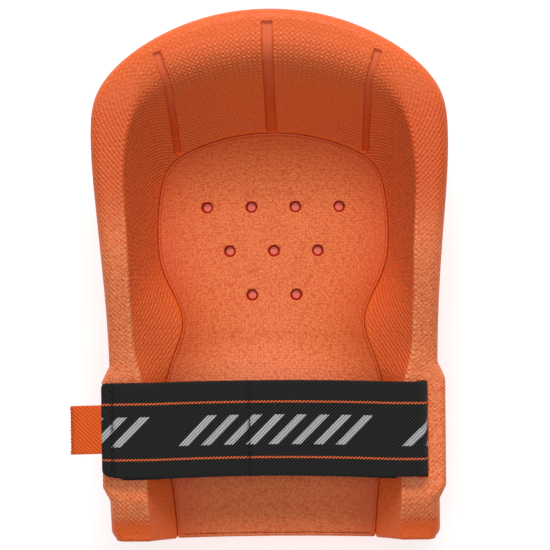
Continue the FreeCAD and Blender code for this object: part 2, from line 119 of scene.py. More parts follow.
# %% Sizes of the cushion
cup_half, cup_y, cup_end_y = 55.0, 26.0, cushion_high[1] + 0.35
neck_half, neck_y = 43.4, -21.0
bed_half, bed_y, bed_end_half = 52.0, -53.0, 47.4
floor_z = cushion_low[2] - 0.35
cup_squareness = 2.6         # 2 is an ellipse, more is squarer
seam_heights = {"cup": 33.0, "cup_end": 37.0, "bed": 42.0, "shin": 33.0}
cup_bottom_z, ramp_foot_z, bed_crest_z, bed_end_z = 23.0, 26.5, 36.0, 26.5
ramp_foot_y, bed_crest_y = -28.0, -62.0
hole_radius, hole_depth, hole_pitch, hole_rows = 2.8, 1.9, 21.0, (4, 3, 2)
print(f"the cushion is {cushion_high[1] - cushion_low[1]:.1f} mm long")
print(f"its recess has its floor at z {floor_z:.1f}")

# %% [markdown]
# ## Heights along the pad
#
# A moulded part is drawn from a few curves: how high the rim stands, how high the seam runs round
# the cushion, and how the cushion's middle rises behind the kneecap.  Each is an eased step
# between two heights.  Straight ramps would be simpler, but they leave kinks that catch the light.

# %% Height curves
def eased(a, b, t):
    """From a to b as t goes from 0 to 1, level at both ends."""
    t = np.clip(t, 0.0, 1.0)
    return a + (b - a) * t * t * (3 - 2 * t)


def rising(value, start, length):
    """0 up to start, 1 from start + length on, and an eased step between them."""
    return eased(0.0, 1.0, (value - start) / length)


def falling(value, start, length):
    return eased(1.0, 0.0, (value - start) / length)


print("a quarter of the way along an eased step:", eased(0.0, 1.0, 0.25))


# %% How high the rim, the seam and the cushion's middle are
def rim_z(y):
    level_from, level_to = strap_y - ear_level / 2, strap_y + ear_level / 2
    knee = eased(side_rim_z, knee_rim_z, (y - 20.0) / 90.0)
    side = eased(ear_rim_z, side_rim_z, (y - level_to) / (20.0 - level_to))
    shin = eased(shin_rim_z, ear_rim_z, (y - shin_y) / (level_from - shin_y))
    return np.where(y > 20.0, knee, np.where(y > level_to, side, shin))


def seam_z(y):
    z = seam_heights
    cup = eased(z["cup"], z["cup_end"], (y - cup_y) / (cup_end_y - cup_y))
    neck = eased(z["bed"], z["cup"], (y - bed_y) / (cup_y - bed_y))
    bed = eased(z["shin"], z["bed"], (y - shin_y) / (bed_y - shin_y))
    return np.where(y > cup_y, cup, np.where(y > bed_y, neck, bed))


def middle_z(y):
    bowl = cup_bottom_z + (ramp_foot_z - cup_bottom_z) * ((cup_y - y) / (cup_y - ramp_foot_y)) ** 2
    ramp = eased(bed_crest_z, ramp_foot_z, (y - bed_crest_y) / (ramp_foot_y - bed_crest_y))
    bed = eased(bed_end_z, bed_crest_z, (y - shin_y) / (bed_crest_y - shin_y))
    behind = np.where(y > ramp_foot_y, bowl, np.where(y > bed_crest_y, ramp, bed))
    return np.where(y > cup_y, cup_bottom_z, behind)


print("rim at knee end, side, strap, shin end:", rim_z(np.array([120.0, 20.0, strap_y, shin_y])).round(1))
print("seam at the cup, the bed and the shin end:", seam_z(np.array([cup_y, bed_y, shin_y])).round(1))

# %% [markdown]
# ## Outlines
#
# Three lines seen from above shape the shell: its outer outline, the crest of the rim, and the
# seam round the cushion.  Each is a few points of the right-hand half, shin end first, with one
# smooth curve through them and their mirror images.  A cubic spline is used because it passes
# through its points, so that a width written down here is the width of the finished pad.

# %% A smooth curve through points
def spline_through(points, knots, at):
    """Cubic spline through the points, each of which has its knot, at the given places."""
    p, k = np.array(points, float), np.array(knots, float)
    h, n = np.diff(k), len(k)
    a, b = np.zeros((n, n)), np.zeros(p.shape)
    a[0, 0] = a[-1, -1] = 1.0
    for i in range(1, n - 1):
        a[i, i - 1:i + 2] = h[i - 1], 2 * (h[i - 1] + h[i]), h[i]
        b[i] = 6 * ((p[i + 1] - p[i]) / h[i] - (p[i] - p[i - 1]) / h[i - 1])
    m = np.linalg.solve(a, b)
    i = np.clip(np.searchsorted(k, at) - 1, 0, n - 2)
    done, left, width = (at - k[i])[:, None], (k[i + 1] - at)[:, None], h[i][:, None]
    bend = (m[i] * left ** 3 + m[i + 1] * done ** 3) / (6 * width)
    before = (p[i] / width - m[i] * width / 6) * left
    after = (p[i + 1] / width - m[i + 1] * width / 6) * done
    return bend + before + after


def mirrored(half):
    """The right half's points, then the same points on the left in reverse."""
    return half + [(-x, y) for x, y in reversed(half) if x > 0.001]


def chord_knots(points):
    """Knots from 0 to 1, spaced as the points are."""
    steps = np.hypot(*np.diff(np.array(points, float), axis=0).T)
    return np.concatenate([[0.0], np.cumsum(steps)]) / steps.sum()


# %% The three lines, right half, shin end first
lean = knee_half - waist_half
foot_half = waist_half + 0.3
outer_half = [
    (foot_half, shin_y + corner_radius), (waist_half + 0.2, -100.0), (waist_half, -31.0),
    (waist_half + 0.45 * lean, 16.0), (knee_half - 0.6, wide_y - 22.0), (knee_half, wide_y),
    (0.966 * knee_half, knee_y - 40.0), (0.85 * knee_half, knee_y - 26.5),
    (0.646 * knee_half, knee_y - 14.0), (0.34 * knee_half, knee_y - 3.6), (0.0, knee_y)]
ear_in = waist_half - ear_rim_width
side_in = waist_half - side_rim_width
knee_in = knee_half - side_rim_width
tip_y = knee_y - knee_rim_width
crest_half = [
    (ear_in - 1.0, shin_y - 12.0), (ear_in - 0.8, shin_y), (ear_in, -100.0), (ear_in + 0.8, bed_y),
    (side_in + 1.2, neck_y - 15.5), (side_in + 2.2, neck_y), (side_in + 2.6, neck_y + 17.0),
    (knee_in - 2.8, cup_y - 10.0), (knee_in - 1.8, cup_y + 12.0), (0.955 * knee_in, cup_y + 38.0),
    (0.83 * knee_in, tip_y - 18.0), (0.48 * knee_in, tip_y - 5.0), (0.0, tip_y)]
cup_reach = cup_end_y - cup_y
seam_half = [
    (bed_end_half - 0.5, shin_y - 12.0), (bed_end_half, shin_y),
    (bed_end_half + 0.45 * (bed_half - bed_end_half), -100.0), (bed_half, bed_y),
    (neck_half + 0.46 * (bed_half - neck_half), neck_y - 15.5), (neck_half, neck_y),
    (neck_half + 0.55 * (cup_half - neck_half), neck_y + 17.0), (cup_half - 0.6, cup_y - 16.0),
    (cup_half, cup_y), (0.945 * cup_half, cup_y + 0.48 * cup_reach),
    (0.80 * cup_half, cup_y + 0.73 * cup_reach), (0.46 * cup_half, cup_y + 0.92 * cup_reach),
    (0.0, cup_end_y)]
crest_knots = chord_knots(mirrored(crest_half))
print(len(outer_half), "points shape the outline,", len(crest_half), "the crest and the seam")

# %% [markdown]
# ## Columns round the rim
#
# The shell is swept: a cross-section runs from the kneeling face up the outside, over the rim and
# down the inner wall, and it is repeated in columns from the shin end round the knee end.  The
# columns are 0.8 mm apart along the crest, so that the moulded net, which repeats every three
# columns, has its lines 2.4 mm apart.  Only the right half is worked out, and mirroring gives the
# left one.

# %% Where each column starts, on crest, seam and outline
cell = 0.8                   # spacing of the columns along the crest
end_round = 1.6              # rounding of the shin end's edges
start_y = shin_y + end_round
dense = np.linspace(crest_knots[1], crest_knots[len(crest_half) - 1], 6001)
crest_line = spline_through(mirrored(crest_half), crest_knots, dense)
first = np.interp(start_y, crest_line[:300, 1], dense[:300])
dense = np.linspace(first, dense[-1], 6001)
crest_line = spline_through(mirrored(crest_half), crest_knots, dense)
run = np.concatenate([[0.0], np.cumsum(np.hypot(*np.diff(crest_line, axis=0).T))])
half_columns = int(round(run[-1] / cell))
places = np.interp(np.linspace(0.0, run[-1], half_columns + 1), run, dense)
crest = spline_through(mirrored(crest_half), crest_knots, places)
seam = spline_through(mirrored(seam_half), crest_knots, places)
crest[-1, 0] = seam[-1, 0] = 0.0
level = falling(crest[:, 1], -110.0, 30.0)   # by the shin end, seam and crest lie side by side
seam[:, 1] += (crest[:, 1] - seam[:, 1]) * level
print(f"crest {2 * run[-1]:.0f} mm round, {2 * half_columns + 1} columns")

# %% The outline outside each crest point
outer_knots = chord_knots(mirrored(outer_half))
outer_dense = spline_through(mirrored(outer_half), outer_knots, np.linspace(0.0, 0.52, 3000))
outline_below = -60.0        # nearer to the shin end, the outline is found straight across
corner = np.radians(np.linspace(-90.0, 0.0, 24))
corner_arc = np.stack([foot_half + corner_radius * (np.cos(corner) - 1),
                       shin_y + corner_radius * (1 + np.sin(corner))], axis=1)
outline = np.concatenate([corner_arc, outer_dense[1:]])


def outward(line):
    """Unit normals of a line that runs from the shin end to the tip, pointing out of the pad."""
    step = np.gradient(line, axis=0)
    normal = np.stack([step[:, 1], -step[:, 0]], axis=1)
    return normal / np.linalg.norm(normal, axis=1)[:, None]


def outline_beyond(points, normals):
    """For each point, where its normal crosses the outline."""
    found = []
    side_line = outline[:2400]   # the part along which y only grows
    for point, normal in zip(points, normals):
        if point[1] < outline_below:
            found.append((np.interp(point[1], side_line[:, 1], side_line[:, 0]), point[1]))
            continue
        rel = outline - point
        side = rel[:, 0] * normal[1] - rel[:, 1] * normal[0]
        ahead = rel @ normal > 0
        hits = np.nonzero((side[:-1] * side[1:] <= 0) & ahead[:-1])[0]
        i = hits[0]
        share = side[i] / (side[i] - side[i + 1]) if side[i] != side[i + 1] else 0.0
        found.append(outline[i] + share * (outline[i + 1] - outline[i]))
    return np.array(found)


normals = outward(crest)
level = falling(crest[:, 1], outline_below, 30.0)[:, None]
normals = normals * (1 - level) + np.array([[1.0, 0.0]]) * level
normals[-1] = (0.0, 1.0)
normals /= np.linalg.norm(normals, axis=1)[:, None]
outer = outline_beyond(crest, normals)
outer[-1] = (0.0, knee_y)
straight_x = np.where(outer[:, 1] < shin_y + corner_radius, foot_half, outer[:, 0])
print("rim width at strap, side and tip:", np.hypot(*(outer - crest)[[60, 200, -1]].T).round(1))

# %% [markdown]
# ## The cross-section
#
# From the crest outward the section is the flat rim, a rounded edge, the outer wall and the big
# roll down to the kneeling face.  From the crest inward it is the steep inner wall, the seam and
# the recess that holds the cushion.  Both halves are first drawn as fine polylines, then sampled
# again at even steps.  Even steps keep the net's meshes the same size everywhere, which stretched
# rows would not.

# %% Outer wall at any height
ear_foot_z, ear_foot_slope = 21.0, 1.33


def hull_half_width(z):
    """Half width of the round-bottomed hull, as a share of the outline's."""
    low = wall_foot - roll + np.sqrt(np.clip(roll ** 2 - (roll - z) ** 2, 0, None))
    return np.where(z >= roll, wall_foot + wall_lean * (z - roll), low) / waist_half


def nose_share(z):
    """How far the knee end reaches at height z, as a share of its full reach from the cup."""
    rise = np.sqrt(np.clip(1 - (1 - np.clip(z / nose_height, 0, 1)) ** 2, 0, 1))
    reach = base_front_y + (knee_y - base_front_y) * rise
    return (reach - cup_y) / (knee_y - cup_y)


def ear_reach(y, z):
    """Half width of the thickened wall round the strap's slots, or 0 where there is none."""
    away = np.abs(y - strap_y) - ear_length / 2
    plan = np.interp(away, [0.0, ear_taper], [ear_x, waist_half - 0.5])
    foot = waist_half - 7.0 + (z - ear_foot_z) * ear_foot_slope
    return np.where((away < ear_taper) & (z > ear_foot_z), np.minimum(plan, foot), 0.0)


def outer_at(z):
    """Points of the outer wall at the heights z, one row of heights for each column."""
    x = np.minimum(outer[:, :1], straight_x[:, None] * hull_half_width(z))
    y = outer[:, 1:] + 0 * z
    y = np.where(y > cup_y, cup_y + (y - cup_y) * np.minimum(1.0, nose_share(z)), y)
    x = np.where(outer[:, :1] > 0.001, np.maximum(x, ear_reach(y, z)), x)
    return np.stack([x, y, z], axis=2)


heights = np.array([0.0, 16.0, 32.0])
print("half width of the hull at z 0, 16 and 32:", (waist_half * hull_half_width(heights)).round(1))


# %% The section outside the crest
rim_crown = 0.7              # the rim is this much higher in its middle, from the waist to the knee end


def outer_section():
    base = np.maximum(0.0, shin_y + shin_chamfer - outer[:, 1])
    near_ear = np.clip((ear_taper - np.abs(outer[:, 1] - strap_y) + ear_length / 2) / ear_taper, 0, 1)
    radius = (rim_round * (1 - near_ear) + ear_round * near_ear)[:, None]
    edge = outer_at((rim_z(outer[:, 1])[:, None] - radius))[:, 0, :2]
    across = edge - crest
    width = np.linalg.norm(across, axis=1)[:, None]
    flat = np.linspace(0.0, 1.0, 12)[None, :] * (width - radius)
    turn = np.radians(np.linspace(0.0, 90.0, 12))[None, 1:]
    reach = np.concatenate([flat, width - radius + radius * np.sin(turn)], axis=1)
    drop = np.concatenate([0 * flat, radius * (1 - np.cos(turn))], axis=1)
    top = crest[:, None, :] + (across / width)[:, None, :] * reach[:, :, None]
    crown = rim_crown * rising(top[:, :, 1], -45.0, 30.0) * np.sin(np.pi * np.clip(reach / width, 0, 1))
    top = np.concatenate([top, (rim_z(top[:, :, 1]) - drop + crown)[:, :, None]], axis=2)
    share = np.linspace(0.0, 1.0, 48)[None, 1:]
    start = top[:, -1:, 2]
    wall = outer_at(start + (base[:, None] - start) * share)
    return np.concatenate([top, wall], axis=1)


# %% The section inside the crest
wall_belly = 0.22            # how much the inner wall bulges on its way down
lid_reach = 14.0             # how far the recess's floor is drawn inward from the seam


def inner_section():
    share = np.linspace(0.0, 1.0, 28)[None, :]
    plan = crest[:, None, :] + (seam - crest)[:, None, :] * share[:, :, None]
    top, low = rim_z(crest[:, 1])[:, None], seam_z(seam[:, 1])[:, None]
    wall = top + (low - top) * (share + wall_belly * share * (1 - share))
    wall = np.concatenate([plan, wall[:, :, None]], axis=2)
    down = np.linspace(0.0, 1.0, 8)[None, 1:]
    heights = low + (floor_z - low) * down
    recess = np.concatenate([np.repeat(seam[:, None, :], 7, axis=1), heights[:, :, None]], axis=2)
    inward = (seam - crest) / np.linalg.norm(seam - crest, axis=1)[:, None]
    lid = np.concatenate([seam + inward * lid_reach, np.full((len(seam), 1), floor_z)], axis=1)[:, None, :]
    return np.concatenate([wall, recess, lid], axis=1), wall


# %% Even steps along a section
def along(section, distances):
    """Points of each column's section at the given distances from its start."""
    steps = np.linalg.norm(np.diff(section, axis=1), axis=2)
    length = np.concatenate([np.zeros((len(section), 1)), np.cumsum(steps, axis=1)], axis=1)
    rows = [[np.interp(d, length[i], section[i, :, k]) for k in range(3)]
            for i, d in enumerate(distances(length))]
    return np.transpose(np.array(rows), (0, 2, 1))


rim_rows, outer_rows, floor_rows = 31, 18, 3
row_step = 0.78


def outside_distances(length):
    for total in length[:, -1]:
        net = row_step * np.arange(1, rim_rows + 1)
        rest = net[-1] + (total - net[-1]) * np.arange(1, outer_rows + 1) / outer_rows
        yield np.concatenate([net, rest])


inside, wall_only = inner_section()
wall_length = np.linalg.norm(np.diff(wall_only, axis=1), axis=2).sum(axis=1)
wall_rows = int(np.ceil(wall_length.max() / row_step))
recess_end = wall_length + seam_z(seam[:, 1]) - floor_z


def inside_distances(length):
    for last in recess_end:
        net = row_step * np.arange(0, wall_rows + 1)
        end = max(last + 1.0, net[-1] + 1.0)
        yield np.concatenate([net, net[-1] + (end - net[-1]) * np.arange(1, floor_rows + 1) / floor_rows])


outside_points = along(outer_section(), outside_distances)
inside_points = along(inside, inside_distances)
half_grid = np.concatenate([outside_points[:, ::-1], inside_points], axis=1)
crest_row = rim_rows + outer_rows
print("inner wall", wall_length.min().round(1), "to", wall_length.max().round(1), "mm")
print(half_grid.shape[1], "rows from the kneeling face to the recess's floor")

# %% [markdown]
# At the knee end the rim turns into the wall over a wide soft shoulder; along the sides the crest
# is nearly sharp.  Rounding the corner of each section by its own amount gives both, where one
# bevel would make them alike.

# %% Round the crest
shoulder = 1.3 + 8.2 * rising(crest[:, 1], 70.0, 26.0)
for side_row in range(1, int(shoulder.max() / row_step) + 1):
    t = side_row * row_step
    for i in np.nonzero(shoulder > t)[0]:
        reach = int(shoulder[i] / row_step)
        out_end, in_end = outside_points[i, reach - 1], inside_points[i, reach]
        edge = inside_points[i, 0]
        for place, w in ((crest_row - side_row, 0.5 - 0.5 * side_row / reach),
                         (crest_row + side_row, 0.5 + 0.5 * side_row / reach)):
            half_grid[i, place] = (1 - w) ** 2 * out_end + 2 * w * (1 - w) * edge + w ** 2 * in_end
reach = np.maximum(1, (shoulder / row_step).astype(int))
ends = outside_points[np.arange(len(reach)), reach - 1] + inside_points[np.arange(len(reach)), reach]
half_grid[:, crest_row] = 0.25 * ends + 0.5 * inside_points[:, 0]
print("shoulder from", shoulder.min(), "to", shoulder.max().round(1), "mm")

# %% [markdown]
# ## The moulded net
#
# The mould's surface was engraved with crossing diagonal lines.  On the side rims they leave small
# pads with a furrow between them, on the inner walls slanting ribs, and at the knee end a net of
# ridges that cross.  It could be a bump texture, but the net shows along the edges of the rim and
# catches the light, so it is real relief: every third diagonal of the grid is a line, and each
# face is split along the diagonal that the line follows.

# %% Where the net's lines run
column = np.arange(-half_columns, half_columns + 1)[:, None]
row = np.arange(half_grid.shape[1])[None, :] - crest_row
outward_line = (abs(column) - row) % 3 == 0
inward_line = (abs(column) + row) % 3 == 0
pads = 1.0 - np.where(outward_line, 1.0, np.where(inward_line, 0.45, 0.0))
ribs = np.where(inward_line, 1.0, np.where(outward_line, 0.5, 0.0))
crossed = np.where(outward_line | inward_line, 1.0, 0.0)

grid = np.concatenate([half_grid, half_grid[-2::-1] * np.array([-1.0, 1.0, 1.0])])
along_y = grid[:, :, 1]
at_knee = rising(along_y, 74.0, 30.0)
net = crossed * at_knee + np.where(row < 0, pads, ribs) * (1 - at_knee)
print("share of the points that lie on a crossing line:", crossed.mean().round(2))


# %% How far each point is from the net's borders
def both_sides(half_values):
    """Values of the right half's columns, carried over to the left half."""
    return np.concatenate([half_values, half_values[-2::-1]])[:, None]


ear_extra = np.maximum(0.0, ear_reach(outer[:, 1:], rim_z(outer[:, 1:]))[:, 0] - outer[:, 0])
rim_width = both_sides(np.linalg.norm(outer - crest, axis=1) + ear_extra)
past_rim = -row * row_step - rim_width
down_wall = row * row_step
past_seam = down_wall - both_sides(wall_length)
from_shin_end = along_y - shin_y
print("the rim is", rim_width.min().round(1), "to", rim_width.max().round(1), "mm wide")

# %% Where the net is and how strong
soft_edge = 0.65 * rising(along_y, 84.0, 26.0) * rising(past_rim, -15.0, 8.0)
on_rim = falling(past_rim, -0.5, 3.5) * (1 - soft_edge) * (row <= 0)
on_wall = falling(past_seam, -2.6, 1.6) * (row > 0)
on_wall = on_wall * rising(along_y, -52.0, 6.0)
on_wall = on_wall * (1 - 0.5 * rising(along_y, 60.0, 25.0) * rising(down_wall, 9.0, 9.0))
net_mask = (on_rim + on_wall) * rising(from_shin_end, 6.5, 4.0)
print(f"the net is on {(net_mask > 0.5).mean():.0%} of the points")

# %% Painted highlight: paler along the crest and on the low rims
painted_highlight = 0.72 * np.exp(-((row + 0.5) / 1.5) ** 2) * falling(along_y, 15.0, 35.0)
painted_highlight = np.maximum(painted_highlight, 0.46 * on_rim * falling(along_y, 5.0, 45.0))
painted_highlight = painted_highlight * rising(from_shin_end, 9.0, 4.0)
print(f"{(painted_highlight > 0.2).mean():.0%} of the points are rubbed pale")

# %% Raise the net out of the surface
net_height, net_level = 0.5, 0.6   # its height, and the share of it that lies below the plain surface
surface_step_u, surface_step_v = np.gradient(grid, axis=0), np.gradient(grid, axis=1)
surface_normal = np.cross(surface_step_u, surface_step_v)
surface_normal /= np.maximum(np.linalg.norm(surface_normal, axis=2), 1e-9)[:, :, None]
grid = grid + surface_normal * ((net - net_level) * net_height * net_mask)[:, :, None]
print("normal at the tip's rim points up:", surface_normal[half_columns, crest_row - 8].round(2))

# %% [markdown]
# ## From a grid to a closed body
#
# The swept grid is open under the pad, under the cushion and at the shin end.  Both open sheets
# are closed straight across, from each right-hand point to its mirror image, and the shin end by
# three rings that round the edge and one flat face.  A closed body is what lets slots be cut.

# %% Helpers that turn points into meshes
def make_object(name, points, faces, smooth=True):
    mesh = bpy.data.meshes.new(name)
    mesh.from_pydata((np.asarray(points, float) * MM).tolist(), [], faces)
    if smooth:
        mesh.shade_smooth()
    piece = bpy.data.objects.new(name, mesh)
    bpy.context.scene.collection.objects.link(piece)
    return piece


def face_outward(piece):
    """Turns the faces of a closed body outward and says what it encloses."""
    body = bmesh.new()
    body.from_mesh(piece.data)
    bmesh.ops.recalc_face_normals(body, faces=body.faces)
    if body.calc_volume(signed=True) < 0:
        bmesh.ops.reverse_faces(body, faces=body.faces)
    body.to_mesh(piece.data)
    faulty = sum(not (e.is_manifold and e.is_contiguous) for e in body.edges)
    volume = body.calc_volume(signed=True) / MM ** 3 / 1000
    body.free()
    return f"{piece.name}: {len(piece.data.polygons)} faces, {faulty} faulty edges, {volume:.1f} cm3"


def grid_faces(ids, diagonal=None):
    """Faces between the rows of a table of vertex numbers, split where a diagonal is asked for."""
    a, b, c, d = ids[:-1, :-1], ids[1:, :-1], ids[1:, 1:], ids[:-1, 1:]
    if diagonal is None:
        return np.stack([a, b, c, d], axis=2).reshape(-1, 4).tolist()
    first = np.where(diagonal[..., None], np.stack([a, b, d], axis=2), np.stack([a, b, c], axis=2))
    second = np.where(diagonal[..., None], np.stack([b, c, d], axis=2), np.stack([a, c, d], axis=2))
    return first.reshape(-1, 3).tolist() + second.reshape(-1, 3).tolist()


def across(points, right, left, count):
    """Points straight across between two lists of vertices; returns all points and their ids."""
    share = np.linspace(0.0, 1.0, count + 1)[1:-1][None, :, None]
    middle = points[right][:, None] * (1 - share) + points[left][:, None] * share
    ids = len(points) + np.arange(middle.shape[0] * middle.shape[1]).reshape(middle.shape[:2])
    sheet = np.concatenate([right[:, None], ids, left[:, None]], axis=1)
    return np.concatenate([points, middle.reshape(-1, 3)]), sheet


# %% The shell's body
def add_values(piece, name, values):
    """A number for each point, padded with zeros for points that were added later."""
    kept = np.zeros(len(piece.data.vertices), np.float32)
    kept[:values.size] = values.ravel()
    piece.data.attributes.new(name, "FLOAT", "POINT").data.foreach_set("value", kept)


def shell_body():
    columns, rows = grid.shape[:2]
    ids = np.arange(columns * rows).reshape(columns, rows)
    points = grid.reshape(-1, 3)
    diagonal = (column[:-1] + row[:, :-1] + 1) % 3 == 0
    faces = grid_faces(ids[:, ::-1], ~diagonal[:, ::-1])
    sheets = []
    for edge_row, count in ((0, 12), (rows - 1, 6)):
        right, left = ids[:half_columns, edge_row], ids[:half_columns:-1, edge_row]
        points, sheet = across(points, right, left, count)
        faces += grid_faces(sheet if edge_row == 0 else sheet[:, ::-1])
        tip = ids[half_columns, edge_row]
        last = sheet[-1] if edge_row == 0 else sheet[-1, ::-1]
        faces += [[a, tip, b] for a, b in zip(last[:-1], last[1:])]
        sheets.append(sheet)
    loop = np.concatenate([ids[0, :-1], sheets[1][0][:-1], ids[-1, :0:-1], sheets[0][0][:0:-1]])
    flat = points[loop][:, [0, 2]]
    step = np.roll(flat, -1, axis=0) - np.roll(flat, 1, axis=0)
    normal = np.stack([step[:, 1], -step[:, 0]], axis=1)
    normal /= np.maximum(np.linalg.norm(normal, axis=1), 1e-9)[:, None]
    for degrees in (30.0, 60.0, 90.0):
        inset = end_round * (1 - math.cos(math.radians(degrees)))
        ring = points[loop].copy()
        ring[:, [0, 2]] = flat - normal * inset
        ring[:, 1] = start_y - end_round * math.sin(math.radians(degrees))
        new = len(points) + np.arange(len(loop))
        points = np.concatenate([points, ring])
        previous = loop if degrees == 30.0 else new - len(loop)
        faces += [[a, b, q, p] for p, q, a, b in zip(previous, np.roll(previous, -1), new, np.roll(new, -1))]
    faces.append(new[::-1].tolist())
    body = make_object("foam_shell", points, faces)
    add_values(body, "netted", net_mask)
    add_values(body, "ridge", net)
    add_values(body, "painted_highlight", painted_highlight)
    return body


shell = shell_body()
print(face_outward(shell))

# %% [markdown]
# ## Slots, channel, tread and moulded grooves
#
# The strap runs through a slot in each ear and lies in a shallow channel under the pad.  The
# kneeling face has cross grooves for grip, and three smooth grooves run down the knee end's wall
# to drain it.  All of them are cut with solid cutters, which leaves the crisp edges of a mould's
# inserts.  Moving the grid's own points could only make them as sharp as the grid is fine.

# %% Cut one body with another
def carve(piece, cutters, finish=0):
    """Cuts each cutter out of the piece; the new faces take the material slot with that number."""
    for cutter in cutters:
        cutter.data.polygons.foreach_set("material_index", [finish] * len(cutter.data.polygons))
        cut = piece.modifiers.new("carve", "BOOLEAN")
        cut.operation, cut.solver, cut.object = "DIFFERENCE", "MANIFOLD", cutter
        bpy.context.view_layer.update()
        carved = bpy.data.meshes.new_from_object(piece.evaluated_get(bpy.context.evaluated_depsgraph_get()))
        piece.modifiers.clear()
        piece.data = carved
        bpy.data.objects.remove(cutter)
    return piece


def prism_y(name, section, y0, y1):
    """Body with one section in the XZ plane from y0 to y1; the section runs anticlockwise."""
    n = len(section)
    points = [(x, y, z) for y in (y0, y1) for x, z in section]
    faces = [[i, (i + 1) % n, n + (i + 1) % n, n + i] for i in range(n)]
    piece = make_object(name, points, faces + [list(range(n))[::-1], list(range(n, 2 * n))], smooth=False)
    face_outward(piece)
    return piece


# %% Cutters of the strap's way and of the tread
channel_depth = 3.0
tall = 100.0
strap_shift = 1.9            # the elastic has slid this far towards the knee end of its slots
slot_lean = 2.6              # the slots lean inward by this much on their way up


def strap_way():
    r = roll - channel_depth
    c = wall_foot - roll
    out, into = slot_x + 1.1, slot_x - 1.5
    turn = np.radians(np.linspace(0.0, -90.0, 19))
    right = [(into - slot_lean - mouth_bevel, tall), (into - slot_lean - mouth_bevel, ear_rim_z),
             (into - slot_lean, ear_rim_z - mouth_bevel), (into, roll + 2.0)]
    right += [(c + r * math.cos(a), roll + r * math.sin(a)) for a in turn]
    top_out = out - slot_lean
    outside = [(-top_out, tall), (-top_out, ear_rim_z - 1.0), (-out, roll + 2.0), (-out, -5.0),
               (out, -5.0), (out, roll + 2.0), (top_out, ear_rim_z - 1.0), (top_out, tall)]
    inner = right + [(-x, z) for x, z in reversed(right)]
    middle, half = strap_y + strap_shift, band_width / 2 + 0.2
    return prism_y("way", outside + inner, middle - half, middle + half)


tread_depth, tread_width, tread_pitch, tread_half = 2.2, 4.0, 15.0, 38.0


def tread_cutters():
    first, last = shin_y + shin_chamfer + 6.0, base_front_y - 6.0
    places = [(i + 0.5) * tread_pitch for i in range(-9, 4)]
    places = [y for y in places if first <= y <= last and abs(y - strap_y) > slot_length / 2 + tread_width]
    half, slope = tread_width / 2, 0.5
    made = []
    for y in places:
        section = [(-tread_half, -1.0), (tread_half, -1.0), (tread_half - slope, tread_depth),
                   (-tread_half + slope, tread_depth)]
        made.append(prism_y("tread", section, y - half, y + half))
    print(len(made), "tread grooves at y", places)
    return made


# %% Cutters of the three moulded grooves
def groove_cutter(path, width, depth):
    """A rounded bar along points on the shell's surface, sunk into it by the groove's depth."""
    tree = BVHTree.FromObject(shell, bpy.context.evaluated_depsgraph_get())
    path = np.array(path, float)
    length = np.concatenate([[0.0], np.cumsum(np.linalg.norm(np.diff(path, axis=0), axis=1))])
    at = np.linspace(0.0, length[-1], int(length[-1] / 0.8))
    plan = np.stack([np.interp(at, length, path[:, k]) for k in range(2)], axis=1)
    centre = [tree.ray_cast(Vector((x * MM, y * MM, 0.2)), Vector((0, 0, -1)))[0] for x, y in plan]
    centre = np.array([list(p) for p in centre]) / MM
    for _ in range(6):
        centre[1:-1] = (centre[:-2] + 2 * centre[1:-1] + centre[2:]) / 4
    tangent = np.gradient(centre, axis=0)
    tangent /= np.linalg.norm(tangent, axis=1)[:, None]
    side = np.cross(tangent, np.array([0.0, 0.0, 1.0]))
    side /= np.linalg.norm(side, axis=1)[:, None]
    up = np.cross(side, tangent)
    h, soft, tall_side = width / 2, 0.5, 5.0
    section = [(-h, tall_side), (-h, soft - depth), (soft - h, -depth),
               (h - soft, -depth), (h, soft - depth), (h, tall_side)]
    rings = np.array([centre + side * a + up * b for a, b in section]).transpose(1, 0, 2)
    n = len(section)
    ids = np.arange(len(centre) * n).reshape(-1, n)
    ids = np.concatenate([ids, ids[:, :1]], axis=1)
    faces = grid_faces(ids) + [ids[0, :n].tolist(), ids[-1, :n][::-1].tolist()]
    cutter = make_object("groove", rings.reshape(-1, 3), faces, smooth=False)
    face_outward(cutter)
    return cutter


centre_line = [(0.0, knee_y - 5.8), (0.0, cup_end_y + 0.6)]
side_line = [(51.6, 106.2), (48.0, 96.0), (46.8, 91.0), (44.6, 58.5)]
grooves = [groove_cutter(centre_line, width=5.2, depth=1.6)]
for side in (1, -1):
    grooves.append(groove_cutter([(side * x, y) for x, y in side_line], width=3.5, depth=1.4))
carve(shell, [strap_way()] + tread_cutters())
carve(shell, grooves, finish=1)
print("shell after cutting:", len(shell.data.polygons), "faces, attributes",
      [a.name for a in shell.data.attributes])

# %% [markdown]
# ## The cushion
#
# The cushion is a separate, softer foam with a leather-like grain.  It is dished under the
# kneecap, rises to a low crest under the shin and ends in a small raised bead along the seam.
# Rings that follow its outline make the rolled edge and the bead, and straight lines across fill
# the rest, so the bead stays even where the outline turns.

# %% Surface of the cushion
def seam_width(y):
    neck = eased(neck_half, cup_half, (y - neck_y) / (cup_y - neck_y))
    bed = eased(bed_half, neck_half, (y - bed_y) / (neck_y - bed_y))
    end = eased(bed_end_half, bed_half, (y - shin_y) / (bed_y - shin_y))
    return np.where(y > neck_y, neck, np.where(y > bed_y, bed, end))


def cushion_reach(x, y):
    """0 in the cushion's middle, 1 at the seam."""
    beyond = np.clip((y - cup_y) / (cup_end_y - cup_y), 0, None) ** cup_squareness
    cup = (beyond + np.abs(x / cup_half) ** cup_squareness) ** (1 / cup_squareness)
    return np.where(y > cup_y, cup, np.abs(x) / seam_width(y))


def cushion_z(x, y):
    reach = cushion_reach(x, y)
    return middle_z(y) + (seam_z(y) - middle_z(y)) * np.minimum(reach, 1.15) ** 2


print("cushion height at the cup's middle", cushion_z(np.array(0.0), np.array(cup_y)), "mm")

